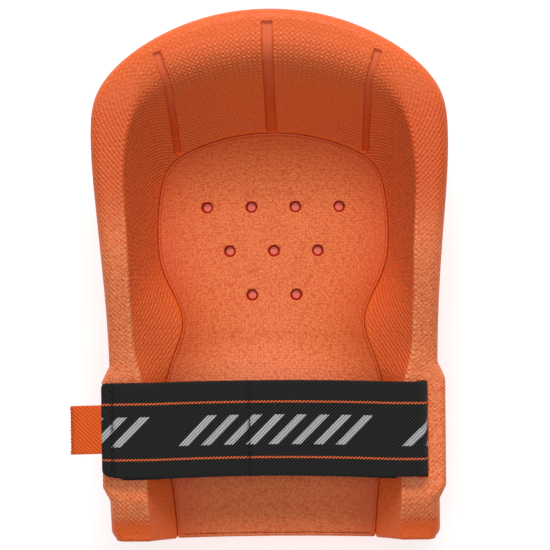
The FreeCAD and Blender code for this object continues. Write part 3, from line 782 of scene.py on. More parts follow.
# %% Outline of the cushion, shin end first
cushion_end_y, end_corner, seam_gap = cushion_low[1] - 2.6, 1.4, 0.12
seam_normals = outward(seam)
seam_normals[-1] = (0.0, 1.0)
edge_line = seam - seam_normals * seam_gap
side_part = edge_line[:, 1] > cushion_end_y + end_corner
side_points, side_normals = edge_line[side_part][::2], seam_normals[side_part][::2]
side_points[-1], side_normals[-1] = (0.0, cup_end_y - seam_gap), (0.0, 1.0)
corner_x = side_points[0, 0] - end_corner
turn = np.radians(np.linspace(-90.0, 0.0, 9))[:-1]
turn_normals = np.stack([np.cos(turn), np.sin(turn)], axis=1)
turn_points = np.array([corner_x, cushion_end_y + end_corner]) + end_corner * turn_normals
end_x = np.linspace(0.0, corner_x, 34)[:-1]
end_points = np.stack([end_x, np.full(len(end_x), cushion_end_y)], axis=1)
end_normals = np.tile([0.0, -1.0], (len(end_x), 1))
rim_points = np.concatenate([end_points, turn_points, side_points])
rim_normals = np.concatenate([end_normals, turn_normals, side_normals])
print(len(rim_points), "points on half of the cushion's outline")

# %% Build the cushion
edge_profile = [(0.0, -6.0), (0.0, -0.75), (0.08, -0.4), (0.22, -0.1), (0.45, 0.14), (0.75, 0.26),
                (1.05, 0.22), (1.35, -0.02), (1.6, -0.2), (1.9, -0.14), (2.6, 0.0)]


def cushion_body():
    rings = []
    for inset, lift in edge_profile:
        plan = rim_points - rim_normals * inset
        plan[0, 0] = plan[-1, 0] = 0.0
        rings.append(np.concatenate([plan, (cushion_z(plan[:, 0], plan[:, 1]) + lift)[:, None]], axis=1))
    rings[0][:, 2] = cushion_low[2]
    rings = np.array(rings)
    rings = np.concatenate([rings, rings[:, -2:0:-1] * np.array([-1.0, 1.0, 1.0])], axis=1)
    count, n = rings.shape[1], len(rim_points)
    ids = np.arange(len(rings) * count).reshape(len(rings), count)
    points = rings.reshape(-1, 3)
    faces = grid_faces(np.concatenate([ids, ids[:, :1]], axis=1))
    for ring, lines in ((ids[-1], 56), (ids[0], 6)):
        right, left = ring[1:n - 1], ring[:n - 1:-1]
        before = len(points)
        points, sheet = across(points, right, left, lines)
        if lines > 6:
            points[before:, 2] = cushion_z(points[before:, 0], points[before:, 1])
        order = sheet if lines > 6 else sheet[:, ::-1]
        faces += grid_faces(order[:, ::-1])
        faces += [[a, ring[0], b] for a, b in zip(order[0, :-1], order[0, 1:])]
        faces += [[b, ring[n - 1], a] for a, b in zip(order[-1, :-1], order[-1, 1:])]
    return make_object("cushion_inlay", points, faces)


cushion = cushion_body()
corners = np.zeros(len(cushion.data.vertices) * 3)
cushion.data.vertices.foreach_get("co", corners)
corners = corners.reshape(-1, 3) / MM
add_values(cushion, "to_seam", np.minimum(cushion_reach(corners[:, 0], corners[:, 1]), 1.0))
print(face_outward(cushion))

# %% [markdown]
# Nine round vents are moulded into the cup.  Each has sides that slope in to a flat, paler bottom, and the
# sides are painted dark red as the shade inside the vent.
# One turned cutter shape serves all nine, set at the height of the cushion where each vent is.

# %% Vents
def vent_cutter(x, y):
    z = float(cushion_z(np.array(x), np.array(y)))
    profile = [(hole_radius + 0.2, z + 4.0), (hole_radius + 0.05, z + 0.3), (hole_radius, z - 0.2),
               (hole_radius - 0.1, z - 0.5), (hole_radius - 0.7, z - hole_depth + 0.2),
               (hole_radius - 0.95, z - hole_depth)]
    angles = np.linspace(0.0, 2 * np.pi, 33)[:-1]
    rings = [[(x + r * math.cos(a), y + r * math.sin(a), h) for a in angles] for r, h in profile]
    n = len(angles)
    ids = np.arange(len(profile) * n).reshape(len(profile), n)
    ids = np.concatenate([ids, ids[:, :1]], axis=1)
    faces = grid_faces(ids[:, ::-1]) + [ids[0, :n].tolist(), ids[-1, :n][::-1].tolist()]
    cutter = make_object("vent", np.array(rings).reshape(-1, 3), faces, smooth=False)
    face_outward(cutter)
    return cutter


vents = [vent_cutter((i - (count - 1) / 2) * hole_pitch, cup_y + 6.4 - line * hole_pitch)
         for line, count in enumerate(hole_rows) for i in range(count)]
carve(cushion, vents, finish=1)
print(len(vents), "vents; the cushion now has", len(cushion.data.polygons), "faces")

# %% [markdown]
# ## Woven elastic
#
# The strap is one 45 mm elastic: anchored under the pad, it comes up through both slots, and its
# two runs lie over each other across the leg.  Its face is a steep twill, so it shows fine
# diagonal ribs.  Each length is made as a flat sheet whose columns already run along the ribs,
# then bent along its path.  The ribs are real relief, and the sheet's own two distances, along and
# across, become its UV map, so that the weave stays in place when the strap bends.

# %% Paths of the strap, as points in the XZ plane
band_thick = 1.6
rest_z = run_high[2] - band_thick / 2
flap_z = flap_high[2] - band_thick / 2
rest_x, bend_radius, sag = waist_half - ear_rim_width - 0.5, 20.0, 10.0
sag_turn = 2 * math.atan(sag / rest_x)
sag_radius = rest_x / math.sin(sag_turn) - bend_radius
hinge_x = slot_x - 3.8
mouth_x = slot_x - slot_lean - 3.0


def run_height(x, above):
    """Height of the runs' line over the rims and the sag between them, above the lower run's middle."""
    x = np.abs(x)
    bend_to = rest_x - (bend_radius + above) * math.sin(sag_turn)
    bend = np.sqrt(np.clip((bend_radius + above) ** 2 - (rest_x - x) ** 2, 0, None)) - bend_radius
    hang = sag_radius - sag - np.sqrt(np.clip((sag_radius - above) ** 2 - x ** 2, 0, None))
    return rest_z + np.where(x >= rest_x, above, np.where(x >= bend_to, bend, hang))


def run_path(x_from, x_to, above):
    x = np.linspace(x_from, x_to, int(abs(x_to - x_from) / 0.8) + 2)
    return np.stack([x, run_height(x, above)], axis=1)


def arc_path(cx, cz, radius, from_deg, to_deg):
    angle = np.radians(np.linspace(from_deg, to_deg, max(8, int(radius * abs(to_deg - from_deg) / 50))))
    return np.stack([cx + radius * np.cos(angle), cz + radius * np.sin(angle)], axis=1)


slot_join_z = 49.0
slot_join_x = slot_x - slot_lean * (slot_join_z - roll - 2.0) / (ear_rim_z - roll - 3.0)


def out_of_slot(side, z, start_z):
    """From inside a slot up and over its inner edge, on the right (1) or the left (-1)."""
    turn = arc_path(side * mouth_x, z - 3.0, 3.0, 0 if side > 0 else 180, 90)
    return np.concatenate([[(side * slot_join_x, start_z)], turn])


upper_path = np.concatenate([out_of_slot(1, flap_z, slot_join_z),
                             run_path(mouth_x - 0.5, flap_low[0], flap_z - rest_z)])
lower_path = np.concatenate([out_of_slot(-1, rest_z, slot_join_z),
                             run_path(-mouth_x + 0.5, run_high[0], 0.0)])
under_c, under_r = wall_foot - roll, slot_x - wall_foot + roll
under_path = np.concatenate([[(slot_join_x, slot_join_z - 0.2)],
                             arc_path(under_c, roll, under_r, 0, -90),
                             arc_path(-under_c, roll, under_r, -90, -180),
                             [(-slot_join_x, slot_join_z - 0.2)]])


def path_length(path):
    return np.linalg.norm(np.diff(path, axis=0), axis=1).sum()


print("upper run", path_length(upper_path).round(), "lower run", path_length(lower_path).round(),
      "under the pad", path_length(under_path).round(), "mm")


# %% A flat ribbed sheet, bent along its path
def ribbed_strip(name, path, width, thickness, pitch, slope, relief, dents=(), drift=None, rib_samples=4,
                 flip=False):
    length = path_length(path)
    step = pitch / rib_samples
    edge = 0.7
    half = width / 2
    between = np.linspace(-half + 1.6, half - 1.6, int(width / 1.5))
    rows = np.concatenate([[-half, -half + 0.2, -half + edge], between, [half - edge, half - 0.2, half]])
    start = -half - step
    columns = np.arange(0, int((length + width + 2 * step) / step) + 1) * step + start
    a = columns[:, None] + slope * rows[None, :]
    b = np.repeat(rows[None, :], len(columns), axis=0)
    flat = np.stack([a.ravel(), b.ravel(), 0 * a.ravel()], axis=1)
    ids = np.arange(a.size).reshape(a.shape)
    sheet = bmesh.new()
    made = bpy.data.meshes.new("flat")
    made.from_pydata(flat.tolist(), [], grid_faces(ids))
    sheet.from_mesh(made)
    for at, way in ((0.0, -1), (length, 1)):
        parts = list(sheet.verts) + list(sheet.edges) + list(sheet.faces)
        bmesh.ops.bisect_plane(sheet, geom=parts, dist=1e-5, plane_co=(at, 0, 0), plane_no=(way, 0, 0),
                               clear_outer=True)
    sheet.verts.index_update()
    top = np.array([v.co[:] for v in sheet.verts])
    faces = [[v.index for v in f.verts] for f in sheet.faces]
    rim = [[corner.link_loop_next.vert.index, corner.vert.index]
           for face in sheet.faces for corner in face.loops if corner.edge.is_boundary]
    sheet.free()
    bpy.data.meshes.remove(made)
    a, b = top[:, 0], top[:, 1]
    run = np.concatenate([[0.0], np.cumsum(np.linalg.norm(np.diff(path, axis=0), axis=1))])
    tangent = np.gradient(path, run, axis=0)
    tangent /= np.linalg.norm(tangent, axis=1)[:, None]
    centre = np.stack([np.interp(a, run, path[:, k]) for k in (0, 1)], axis=1)
    facing = np.stack([np.interp(a, run, tangent[:, k]) for k in (0, 1)], axis=1)
    up = np.stack([facing[:, 1], -facing[:, 0]], axis=1)
    if flip:
        up = -up
    phase = 2 * np.pi * (a - slope * b) / pitch
    inner = np.clip((np.abs(b) - half + edge) / edge, 0, 1)
    body = thickness / 2 * np.sqrt(1 - 0.85 * inner ** 2)
    rib = relief * (1 - inner)
    dent = sum(0.5 * np.exp(-((a - d) / 0.8) ** 2) for d in dents) if len(dents) else 0.0
    y = strap_y + strap_shift + b + (drift(a, b) if drift else 0.0)
    layers = [centre + up * (body + rib * np.cos(phase) - dent)[:, None],
              centre - up * (body + rib * np.cos(phase + np.pi))[:, None]]
    points = np.concatenate([np.stack([q[:, 0], y, q[:, 1]], axis=1) for q in layers])
    n = len(a)
    faces = faces + [[i + n for i in f[::-1]] for f in faces] + [[i, j, j + n, i + n] for i, j in rim]
    piece = make_object(name, points, faces)
    words = face_outward(piece)
    uv = piece.data.uv_layers.new(name="cloth")
    vertex = np.zeros(len(piece.data.loops), int)
    piece.data.loops.foreach_get("vertex_index", vertex)
    uv.data.foreach_set("uv", np.stack([a, b], axis=1)[vertex % n].astype(np.float32).ravel())
    add_values(piece, "rib", np.concatenate([np.cos(phase), np.cos(phase + np.pi)]))
    # Where the stitches dent the cloth; the elastic's finish paints it dark there as shade.
    crease = sum((np.exp(-((a - d) / 0.55) ** 2) for d in dents), np.zeros(len(a)))
    add_values(piece, "crease", np.concatenate([crease, crease]))
    print(words)
    return piece


# %% The three lengths of elastic
twill_pitch, twill_relief = 1.7, 0.11
left_end = path_length(upper_path)
end_stitch_at = left_end - (hook_low[0] - flap_low[0])
mid_stitch_at = left_end - (hook_high[0] - 0.5 - flap_low[0]) * 1.012


corner_round = 2.2           # radius of the free end's corners


def drift_upper(a, b):
    """The upper run bows towards the knee end, and its corners are rounded or pulled in."""
    share = np.clip(a / left_end, 0, 1)
    half = band_width / 2
    left_over = np.clip(corner_round - (left_end - a), 0, corner_round)
    corner = corner_round - np.sqrt(corner_round ** 2 - left_over ** 2)
    # The edge on the shin's side is pulled in twice: at the right slot and at the free end.
    tuck = 2.8 * np.exp(-(a / 8.0) ** 2) * np.clip(-b / half, 0, 1) ** 5
    low_corner = 1.6 * np.exp(-((left_end - a) / 3.5) ** 2) * np.clip(-b / half, 0, 1) ** 4
    bow = 0.5 * np.sin(np.pi * share) + 0.6 * share
    return bow - np.sign(b) * corner * np.abs(b / half) ** 6 + tuck + low_corner


def drift_lower(a, b):
    """The lower run starts and ends a little nearer to the shin than its middle."""
    return 0.9 * np.sin(np.pi * np.clip(a / path_length(lower_path), 0, 1)) - 0.9


strap_upper = ribbed_strip("strap_upper_run", upper_path, band_width, band_thick, twill_pitch, -1.0,
                           twill_relief, dents=(end_stitch_at, mid_stitch_at), drift=drift_upper)
strap_lower = ribbed_strip("strap_lower_run", lower_path, band_width, band_thick, twill_pitch, 1.0,
                           twill_relief, drift=drift_lower, flip=True)
strap_under = ribbed_strip("strap_under_band", under_path, band_width, band_thick, twill_pitch, -1.0,
                           twill_relief, rib_samples=3)

# %% [markdown]
# ## Pull tab, fastener tapes and thread
#
# A folded ribbon is sewn into the strap's free end to pull it open by.  It is the same kind of
# strip as the elastic, with its path turned back on itself and pressed flat inside the strap.
# Under the free end sits hook tape, and on the lower run the loop tape that it grips.  They hardly
# show while the strap is closed, but they do when it is opened, so the hooks and loops are
# modelled one by one.

# %% Pull tab
tab_thick, tab_layer = tab_high[2] - tab_low[2], 0.42
tab_fold_x = tab_low[0] + tab_thick / 2
tab_root_x = tab_high[0] + 1.5
tab_pressed = [(tab_root_x, 0.12), (tab_high[0] - 0.8, 0.12), (tab_high[0] - 3.4, tab_layer)]
tab_path = np.concatenate([[(x, flap_z + lift) for x, lift in tab_pressed],
                           arc_path(tab_fold_x, flap_z, tab_layer, 90, 270),
                           [(x, flap_z - lift) for x, lift in reversed(tab_pressed)]])


def fine_path(path, step=0.5):
    run = np.concatenate([[0.0], np.cumsum(np.linalg.norm(np.diff(path, axis=0), axis=1))])
    at = np.unique(np.concatenate([run, np.arange(0.0, run[-1], step)]))
    return np.stack([np.interp(at, run, path[:, k]) for k in (0, 1)], axis=1)


tab_width = tab_high[1] - tab_low[1]
tab_middle = path_length(tab_path) / 2


def drift_tab(a, b):
    """The ribbon is sewn in a little towards the knee end, and its fold hangs back from there."""
    return 1.3 - 0.3 * (1 - np.abs(a - tab_middle) / tab_middle)


pull_tab = ribbed_strip("pull_tab_ribbon", fine_path(tab_path), tab_width, thickness=0.7, pitch=2.0,
                        slope=1.0, relief=0.14, drift=drift_tab)

# %% Cloth of the two tapes
tape_width = hook_high[1] - hook_low[1]
hook_above = flap_z - rest_z - band_thick / 2 - 0.35
hook_path = run_path(hook_high[0], hook_low[0], hook_above)


def drift_hook(a, b):
    """The tape is sewn on a little nearer to the knee end."""
    return 0.3


hook_cloth = ribbed_strip("hook_tape_cloth", hook_path, tape_width, thickness=0.45, pitch=1.2,
                          slope=-1.0, relief=0.03, drift=drift_hook)
loop_above = band_thick / 2 + 0.35
loop_path = run_path(loop_low[0], loop_high[0], loop_above)
loop_cloth = ribbed_strip("loop_tape_cloth", loop_path, tape_width, thickness=0.45, pitch=1.1,
                          slope=1.0, relief=0.05, flip=True)


# %% Many small bent threads in one mesh
def bent_threads(name, lines, radius, sides=4):
    """lines: array of threads, each a row of points; every thread becomes a thin closed tube."""
    lines = np.array(lines, float)
    count, steps = lines.shape[:2]
    tangent = np.gradient(lines, axis=1)
    tangent /= np.maximum(np.linalg.norm(tangent, axis=2), 1e-9)[:, :, None]
    side = np.cross(tangent, np.array([0.31, 0.42, 0.85]))
    side /= np.maximum(np.linalg.norm(side, axis=2), 1e-9)[:, :, None]
    other = np.cross(tangent, side)
    angle = 2 * np.pi * np.arange(sides) / sides
    rings = [lines + radius * (side * math.cos(t) + other * math.sin(t)) for t in angle]
    points = np.stack(rings, axis=2)
    ids = np.arange(count * steps * sides).reshape(count, steps, sides)
    wrap = np.concatenate([ids, ids[:, :, :1]], axis=2)
    faces = []
    for thread in wrap:
        faces += grid_faces(thread)
        faces += [thread[0, :sides].tolist()[::-1], thread[-1, :sides].tolist()]
    piece = make_object(name, points.reshape(-1, 3), faces)
    print(face_outward(piece), "in", count, "threads")
    return piece


# %% Hooks
def hooks():
    lines = []
    for i, x in enumerate(np.arange(hook_low[0] + 1.2, hook_high[0] - 0.8, 1.35)):
        for y in np.arange(-tape_width / 2 + 1.0, tape_width / 2 - 0.8, 1.3):
            foot = run_height(x, hook_above - 0.2)
            y = strap_y + strap_shift + y + 0.3 + 0.3 * (i % 2)
            lean_way = 0.32 if i % 2 else -0.32
            lines.append([(x, y, foot), (x, y, foot - 0.3), (x + lean_way * 0.5, y, foot - 0.48),
                          (x + lean_way, y, foot - 0.36)])
    return lines


hook_threads = bent_threads("hook_tape_hooks", hooks(), 0.11)


# %% Loops
def loops():
    rng = np.random.default_rng(7)
    lines = []
    for x in np.arange(loop_low[0] + 0.8, loop_high[0] - 0.6, 1.15):
        for y in np.arange(-tape_width / 2 + 0.8, tape_width / 2 - 0.6, 1.15):
            jitter = rng.uniform(-0.35, 0.35, 2)
            turn = rng.uniform(0, np.pi)
            reach, rise = rng.uniform(0.4, 0.7), rng.uniform(0.25, 0.5)
            foot = run_height(x, loop_above + 0.15)
            at = np.array([x + jitter[0], strap_y + strap_shift + y + jitter[1], foot])
            way = np.array([math.cos(turn), math.sin(turn), 0.0]) * reach
            up = np.array([0.0, 0.0, rise])
            lines.append([at - way, at - 0.6 * way + 0.8 * up, at + up, at + 0.6 * way + 0.8 * up, at + way])
    return lines


loop_threads = bent_threads("loop_tape_pile", loops(), 0.07, sides=3)


# %% Rows of stitches
def stitch_line(x, above, drift=0.0, length=2.3, pitch=3.1, count=14):
    """Stitches across the strap at x: each thread rises out of the cloth, lies on it and dives back."""
    lines = []
    top = float(run_height(np.array(x), above))
    for i in range(count):
        y = strap_y + strap_shift + drift + (i - (count - 1) / 2) * pitch
        share = np.linspace(-0.5, 0.5, 7)
        lines.append([(x, y + length * s, top + 0.12 - 0.5 * abs(2 * s) ** 4) for s in share])
    return lines


flap_above = flap_z - rest_z + band_thick / 2
end_x = hook_low[0]
mid_x = hook_high[0] - 0.5
end_thread = bent_threads("end_stitch_thread", stitch_line(end_x, flap_above - 0.2), 0.26, sides=8)
mid_thread = bent_threads("mid_stitch_thread", stitch_line(mid_x, flap_above - 0.2, 0.6), 0.26, sides=8)
loop_line = stitch_line(loop_high[0] - 2.0, band_thick / 2 + 0.75, 0.4, count=12)
loop_thread = bent_threads("loop_stitch_thread", loop_line, 0.22, sides=8)

# %% [markdown]
# ## Finishes
#
# Every finish is a node material worked out from the object's own space or from the cloth's two
# distances, never from where the camera stands.  A small helper makes a node and sets or links its
# inputs in one line, so that each material reads like a recipe.

# %% Node helpers
def srgb(red, green, blue):
    """A colour as it looks on a screen, turned into the linear values that shaders use."""
    part = [c / 255 for c in (red, green, blue)]
    return tuple(c / 12.92 if c <= 0.04045 else ((c + 0.055) / 1.055) ** 2.4 for c in part) + (1.0,)


def node(tree, kind, inputs=None, **settings):
    made = tree.nodes.new(kind)
    for key, value in settings.items():
        setattr(made, key, value)
    for key, value in (inputs or {}).items():
        if isinstance(value, bpy.types.NodeSocket):
            tree.links.new(value, made.inputs[key])
        else:
            made.inputs[key].default_value = value
    return made


def new_finish(name):
    finish = bpy.data.materials.new(name)
    finish.use_nodes = True
    finish.node_tree.nodes.clear()
    tree = finish.node_tree
    surface = node(tree, "ShaderNodeBsdfPrincipled")
    output = node(tree, "ShaderNodeOutputMaterial", {"Surface": surface.outputs["BSDF"]})
    output.target = "ALL"
    return finish, tree, surface


def value_of(tree, name):
    return node(tree, "ShaderNodeAttribute", attribute_name=name).outputs["Fac"]


def calc(tree, operation, a, b=0.0, c=0.0):
    """The operation on a and b; MULTIPLY_ADD also takes c, and gives a * b + c."""
    inputs = {0: a, 1: b}
    if operation == "MULTIPLY_ADD":
        inputs[2] = c
    return node(tree, "ShaderNodeMath", inputs, operation=operation).outputs[0]


def blend_colour(tree, share, first, second):
    """The first colour where the share is 0, the second where it is 1."""
    return node(tree, "ShaderNodeMix", {0: share, 6: first, 7: second}, data_type="RGBA").outputs[2]


def cloud(tree, place, scale, detail=3.0, roughness=0.5):
    inputs = {"Vector": place, "Scale": scale, "Detail": detail, "Roughness": roughness}
    return node(tree, "ShaderNodeTexNoise", inputs).outputs["Fac"]


def bumps(tree, height, distance, strength=1.0, below=None):
    inputs = {"Height": height, "Distance": distance, "Strength": strength}
    if below is not None:
        inputs["Normal"] = below
    return node(tree, "ShaderNodeBump", inputs).outputs["Normal"]


def place_of(tree):
    return node(tree, "ShaderNodeTexCoord").outputs["Object"]


print("helpers ready; a mid orange in linear values is", [round(c, 3) for c in srgb(222, 104, 52)[:3]])

# %% [markdown]
# ### Moulded foam
#
# Closed-cell foam fills the mould and takes its surface: fine grain and a net of ridges and pits.
# The pits are painted darker as shade, the ridges lighter as highlight, and a speckled pale
# painted highlight runs along the crest and over the low rims.  The ridge value stored with the
# mesh tells the material where it is on the net.  The grain and the slow cloudiness of the colour
# come from noise, at sizes a ruler would find on the real thing: about a millimetre and several
# centimetres.

# %% Foam of the shell
# The pit colour is painted shade in the net's pits, the ridge colour a painted highlight on its ridges, and
# the last colour a pale painted highlight for the crest and the low rims.
FOAM = {"pit_shade": srgb(224, 58, 2), "body": srgb(232, 98, 34), "ridge": srgb(238, 127, 68),
        "painted_highlight": srgb(255, 172, 116)}


def shell_foam():
    finish, tree, surface = new_finish("moulded_foam")
    place = place_of(tree)
    ridge, netted = value_of(tree, "ridge"), value_of(tree, "netted")
    slow = cloud(tree, place, 14.0, 0.0)
    grain = cloud(tree, place, 1500.0, 4.0, 0.6)
    # Painted light: the net's pits get a darker colour as shade, its ridges a lighter one as highlight.
    on_net = blend_colour(tree, ridge, FOAM["pit_shade"], FOAM["ridge"])
    colour = blend_colour(tree, netted, FOAM["body"], on_net)
    # Painted highlight: a speckled pale colour along the crest and over the low rims.
    highlight_noise = calc(tree, "MULTIPLY_ADD", cloud(tree, place, 900.0, 1.0), 3.0, -0.85)
    highlight_noise = calc(tree, "MULTIPLY", highlight_noise, value_of(tree, "painted_highlight"))
    highlight_amount = node(tree, "ShaderNodeClamp", {"Value": highlight_noise}).outputs[0]
    colour = blend_colour(tree, highlight_amount, colour, FOAM["painted_highlight"])
    shade = calc(tree, "MULTIPLY_ADD", slow, 0.22, 0.89)
    speck = calc(tree, "MULTIPLY_ADD", grain, 0.30, 0.85)
    tone = calc(tree, "MULTIPLY", shade, speck)
    tinted = node(tree, "ShaderNodeHueSaturation", {"Color": colour, "Value": tone}).outputs["Color"]
    tree.links.new(tinted, surface.inputs["Base Color"])
    rough = calc(tree, "MULTIPLY_ADD", grain, 0.3, 0.3)
    tree.links.new(rough, surface.inputs["Roughness"])
    leather = node(tree, "ShaderNodeTexVoronoi", {"Vector": place, "Scale": 760.0}, feature="SMOOTH_F1")
    coarse = bumps(tree, leather.outputs["Distance"], 0.00055, 0.6)
    tree.links.new(bumps(tree, grain, 0.00016, 0.7, coarse), surface.inputs["Normal"])
    surface.inputs["Specular IOR Level"].default_value = 0.3
    surface.inputs["Sheen Weight"].default_value = 0.02
    surface.inputs["Sheen Roughness"].default_value = 0.5
    return finish


def groove_foam():
    """Where an insert of the mould was polished: the same foam, smoother and a little glossy, its oranges
    painted a little darker as the shade in the groove and paler near the rim as a painted highlight.
    """
    finish, tree, surface = new_finish("polished_foam")
    place = place_of(tree)
    slow = cloud(tree, place, 60.0, 3.0)
    # Painted shade: the groove's two oranges are darker than the shell's foam.
    colour = blend_colour(tree, slow, srgb(212, 74, 18), srgb(228, 92, 32))
    height = node(tree, "ShaderNodeSeparateXYZ", {"Vector": place}).outputs[2]
    # Painted highlight: the groove turns pale pink-orange towards the rim.
    painted_rim_highlight = node(tree, "ShaderNodeMapRange", {"Value": height, 1: 0.050, 2: 0.072}).outputs[0]
    colour = blend_colour(tree, calc(tree, "MULTIPLY", painted_rim_highlight, 0.4), colour, srgb(240, 136, 96))
    tree.links.new(colour, surface.inputs["Base Color"])
    tree.links.new(calc(tree, "MULTIPLY_ADD", slow, 0.2, 0.36), surface.inputs["Roughness"])
    surface.inputs["Specular IOR Level"].default_value = 0.25
    tree.links.new(bumps(tree, cloud(tree, place, 900.0), 0.00006, 0.6), surface.inputs["Normal"])
    return finish


print("colours of the shell's foam:", ", ".join(FOAM))


# %% Foam of the cushion
def cushion_foam():
    finish, tree, surface = new_finish("grained_cushion_foam")
    place = place_of(tree)
    slow = cloud(tree, place, 14.0, 0.0)
    cells = node(tree, "ShaderNodeTexVoronoi", {"Vector": place, "Scale": 780.0, "Randomness": 0.7},
                 feature="F1").outputs["Distance"]
    fine = cloud(tree, place, 2200.0, 3.0, 0.6)
    # The grain's cell centres are painted lighter and their borders darker: the grain's own mottle together
    # with a painted highlight on its bumps.
    off_centre = calc(tree, "MULTIPLY_ADD", cells, 1.2, -0.15)
    colour = blend_colour(tree, off_centre, srgb(246, 134, 72), srgb(214, 82, 24))
    # Painted shade: the cushion darkens towards the seam, where the shell's walls shade it.
    seam_shade = calc(tree, "MULTIPLY", calc(tree, "POWER", value_of(tree, "to_seam"), 4.0), 0.75)
    colour = blend_colour(tree, seam_shade, colour, srgb(206, 70, 14))
    shade = calc(tree, "MULTIPLY_ADD", slow, 0.12, 0.94)
    speck = calc(tree, "MULTIPLY_ADD", fine, 0.1, 0.95)
    tone = calc(tree, "MULTIPLY", shade, speck)
    tinted = node(tree, "ShaderNodeHueSaturation", {"Color": colour, "Value": tone}).outputs["Color"]
    tree.links.new(tinted, surface.inputs["Base Color"])
    tree.links.new(calc(tree, "MULTIPLY_ADD", fine, 0.25, 0.36), surface.inputs["Roughness"])
    coarse = bumps(tree, calc(tree, "SUBTRACT", 1.0, cells), 0.00035, 0.8)
    tree.links.new(bumps(tree, fine, 0.0001, 0.6, coarse), surface.inputs["Normal"])
    surface.inputs["Specular IOR Level"].default_value = 0.4
    surface.inputs["Sheen Weight"].default_value = 0.02
    return finish


def vent_foam():
    finish, tree, surface = new_finish("vent_skin")
    place = place_of(tree)
    slow = cloud(tree, place, 300.0, 3.0)
    facing = node(tree, "ShaderNodeNewGeometry").outputs["True Normal"]
    faces_up = node(tree, "ShaderNodeSeparateXYZ", {0: facing}).outputs[2]
    bottom = blend_colour(tree, slow, srgb(230, 98, 82), srgb(242, 126, 106))
    # Painted shade: faces that do not look straight up, the vent's sides, are painted dark red.
    colour = blend_colour(tree, calc(tree, "GREATER_THAN", faces_up, 0.97), srgb(168, 28, 6), bottom)
    tree.links.new(colour, surface.inputs["Base Color"])
    tree.links.new(calc(tree, "MULTIPLY_ADD", slow, 0.2, 0.3), surface.inputs["Roughness"])
    surface.inputs["Specular IOR Level"].default_value = 0.2
    tree.links.new(bumps(tree, cloud(tree, place, 700.0), 0.0001, 0.5), surface.inputs["Normal"])
    return finish


# %% [markdown]
# ### Elastic, ribbon and thread
#
# The elastic is dyed black, with two thin bright lines woven along it and a plain row of slanted
# bars in light yarn, in groups of eight with a gap between.  The tops of its ribs are painted
# lighter as highlight and the furrows darker as shade, on the black, the lines and the bars alike,
# and the stitch creases are painted dark as shade.  The cloth's own distances place them, so one
# material serves all three lengths.

# %% Woven elastic
STRIPE_PLACES, STRIPE_HALF = (12.4, -14.0), 0.42
BAR_PITCH, BAR_WIDTH, BAR_HALF_HEIGHT, BAR_MIDDLE = 10.75, 4.6, 7.0, -0.8
BARS_SHOWN, BARS_IN_ROUND, FIRST_BAR = 8, 10, 39.7


def woven_elastic():
    finish, tree, surface = new_finish("woven_elastic")
    uv = node(tree, "ShaderNodeUVMap", uv_map="cloth").outputs["UV"]
    parts = node(tree, "ShaderNodeSeparateXYZ", {"Vector": uv}).outputs
    a, b = parts[0], parts[1]
    rib = value_of(tree, "rib")
    top = calc(tree, "MULTIPLY_ADD", rib, 0.5, 0.5)
    fuzz = cloud(tree, uv, 3.0, 3.0, 0.6)
    # Painted highlight: the rib tops turn grey on the black, broken up by random fuzz.
    rib_highlight = calc(tree, "MULTIPLY", calc(tree, "POWER", top, 2.0), calc(tree, "MULTIPLY", fuzz, 1.6))
    base = blend_colour(tree, rib_highlight, srgb(3, 3, 3), srgb(58, 58, 60))
    edge = calc(tree, "MULTIPLY_ADD", rib, 0.16, 0.0)
    stripe = None
    for place in STRIPE_PLACES:
        near = calc(tree, "ABSOLUTE", calc(tree, "SUBTRACT", b, place))
        inside = calc(tree, "LESS_THAN", calc(tree, "SUBTRACT", near, edge), STRIPE_HALF)
        stripe = inside if stripe is None else calc(tree, "MAXIMUM", stripe, inside)
    # The orange lines are painted light on the rib tops as highlight and dark in the furrows as shade.
    lit = blend_colour(tree, top, srgb(130, 40, 14), srgb(255, 122, 66))
    base = blend_colour(tree, stripe, base, lit)
    slanted = calc(tree, "DIVIDE", calc(tree, "ADD", calc(tree, "SUBTRACT", a, FIRST_BAR), b), BAR_PITCH)
    inside_bar = calc(tree, "LESS_THAN", calc(tree, "FRACT", slanted), BAR_WIDTH / BAR_PITCH)
    in_group = calc(tree, "LESS_THAN", calc(tree, "FRACT", calc(tree, "DIVIDE", slanted, BARS_IN_ROUND)),
                    BARS_SHOWN / BARS_IN_ROUND)
    inside_bar = calc(tree, "MULTIPLY", inside_bar, in_group)
    height = calc(tree, "ABSOLUTE", calc(tree, "SUBTRACT", b, BAR_MIDDLE))
    in_row = calc(tree, "LESS_THAN", calc(tree, "SUBTRACT", height, edge), BAR_HALF_HEIGHT)
    inside_bar = calc(tree, "MULTIPLY", inside_bar, in_row)
    # The bars' yarn is painted lighter on the rib tops as highlight, with random fuzz.
    lit_yarn = calc(tree, "MULTIPLY_ADD", top, 0.7, calc(tree, "MULTIPLY", fuzz, 0.3))
    yarn = blend_colour(tree, lit_yarn, srgb(84, 84, 88), srgb(226, 226, 228))
    base = blend_colour(tree, inside_bar, base, yarn)
    # Painted shade: the elastic darkens along the stitch creases.
    base = blend_colour(tree, calc(tree, "MULTIPLY", value_of(tree, "crease"), 0.92), base, srgb(2, 2, 3))
    tree.links.new(base, surface.inputs["Base Color"])
    tree.links.new(calc(tree, "MULTIPLY_ADD", fuzz, 0.2, 0.62), surface.inputs["Roughness"])
    yarns = node(tree, "ShaderNodeTexWave", {"Vector": uv, "Scale": 0.9, "Distortion": 0.6},
                 bands_direction="X")
    tree.links.new(bumps(tree, yarns.outputs["Fac"], 0.00012, 0.6), surface.inputs["Normal"])
    surface.inputs["Specular IOR Level"].default_value = 0.25
    surface.inputs["Sheen Weight"].default_value = 0.03
    return finish


print(f"{BARS_SHOWN} bars in a group, {BAR_PITCH} mm apart along the strap")


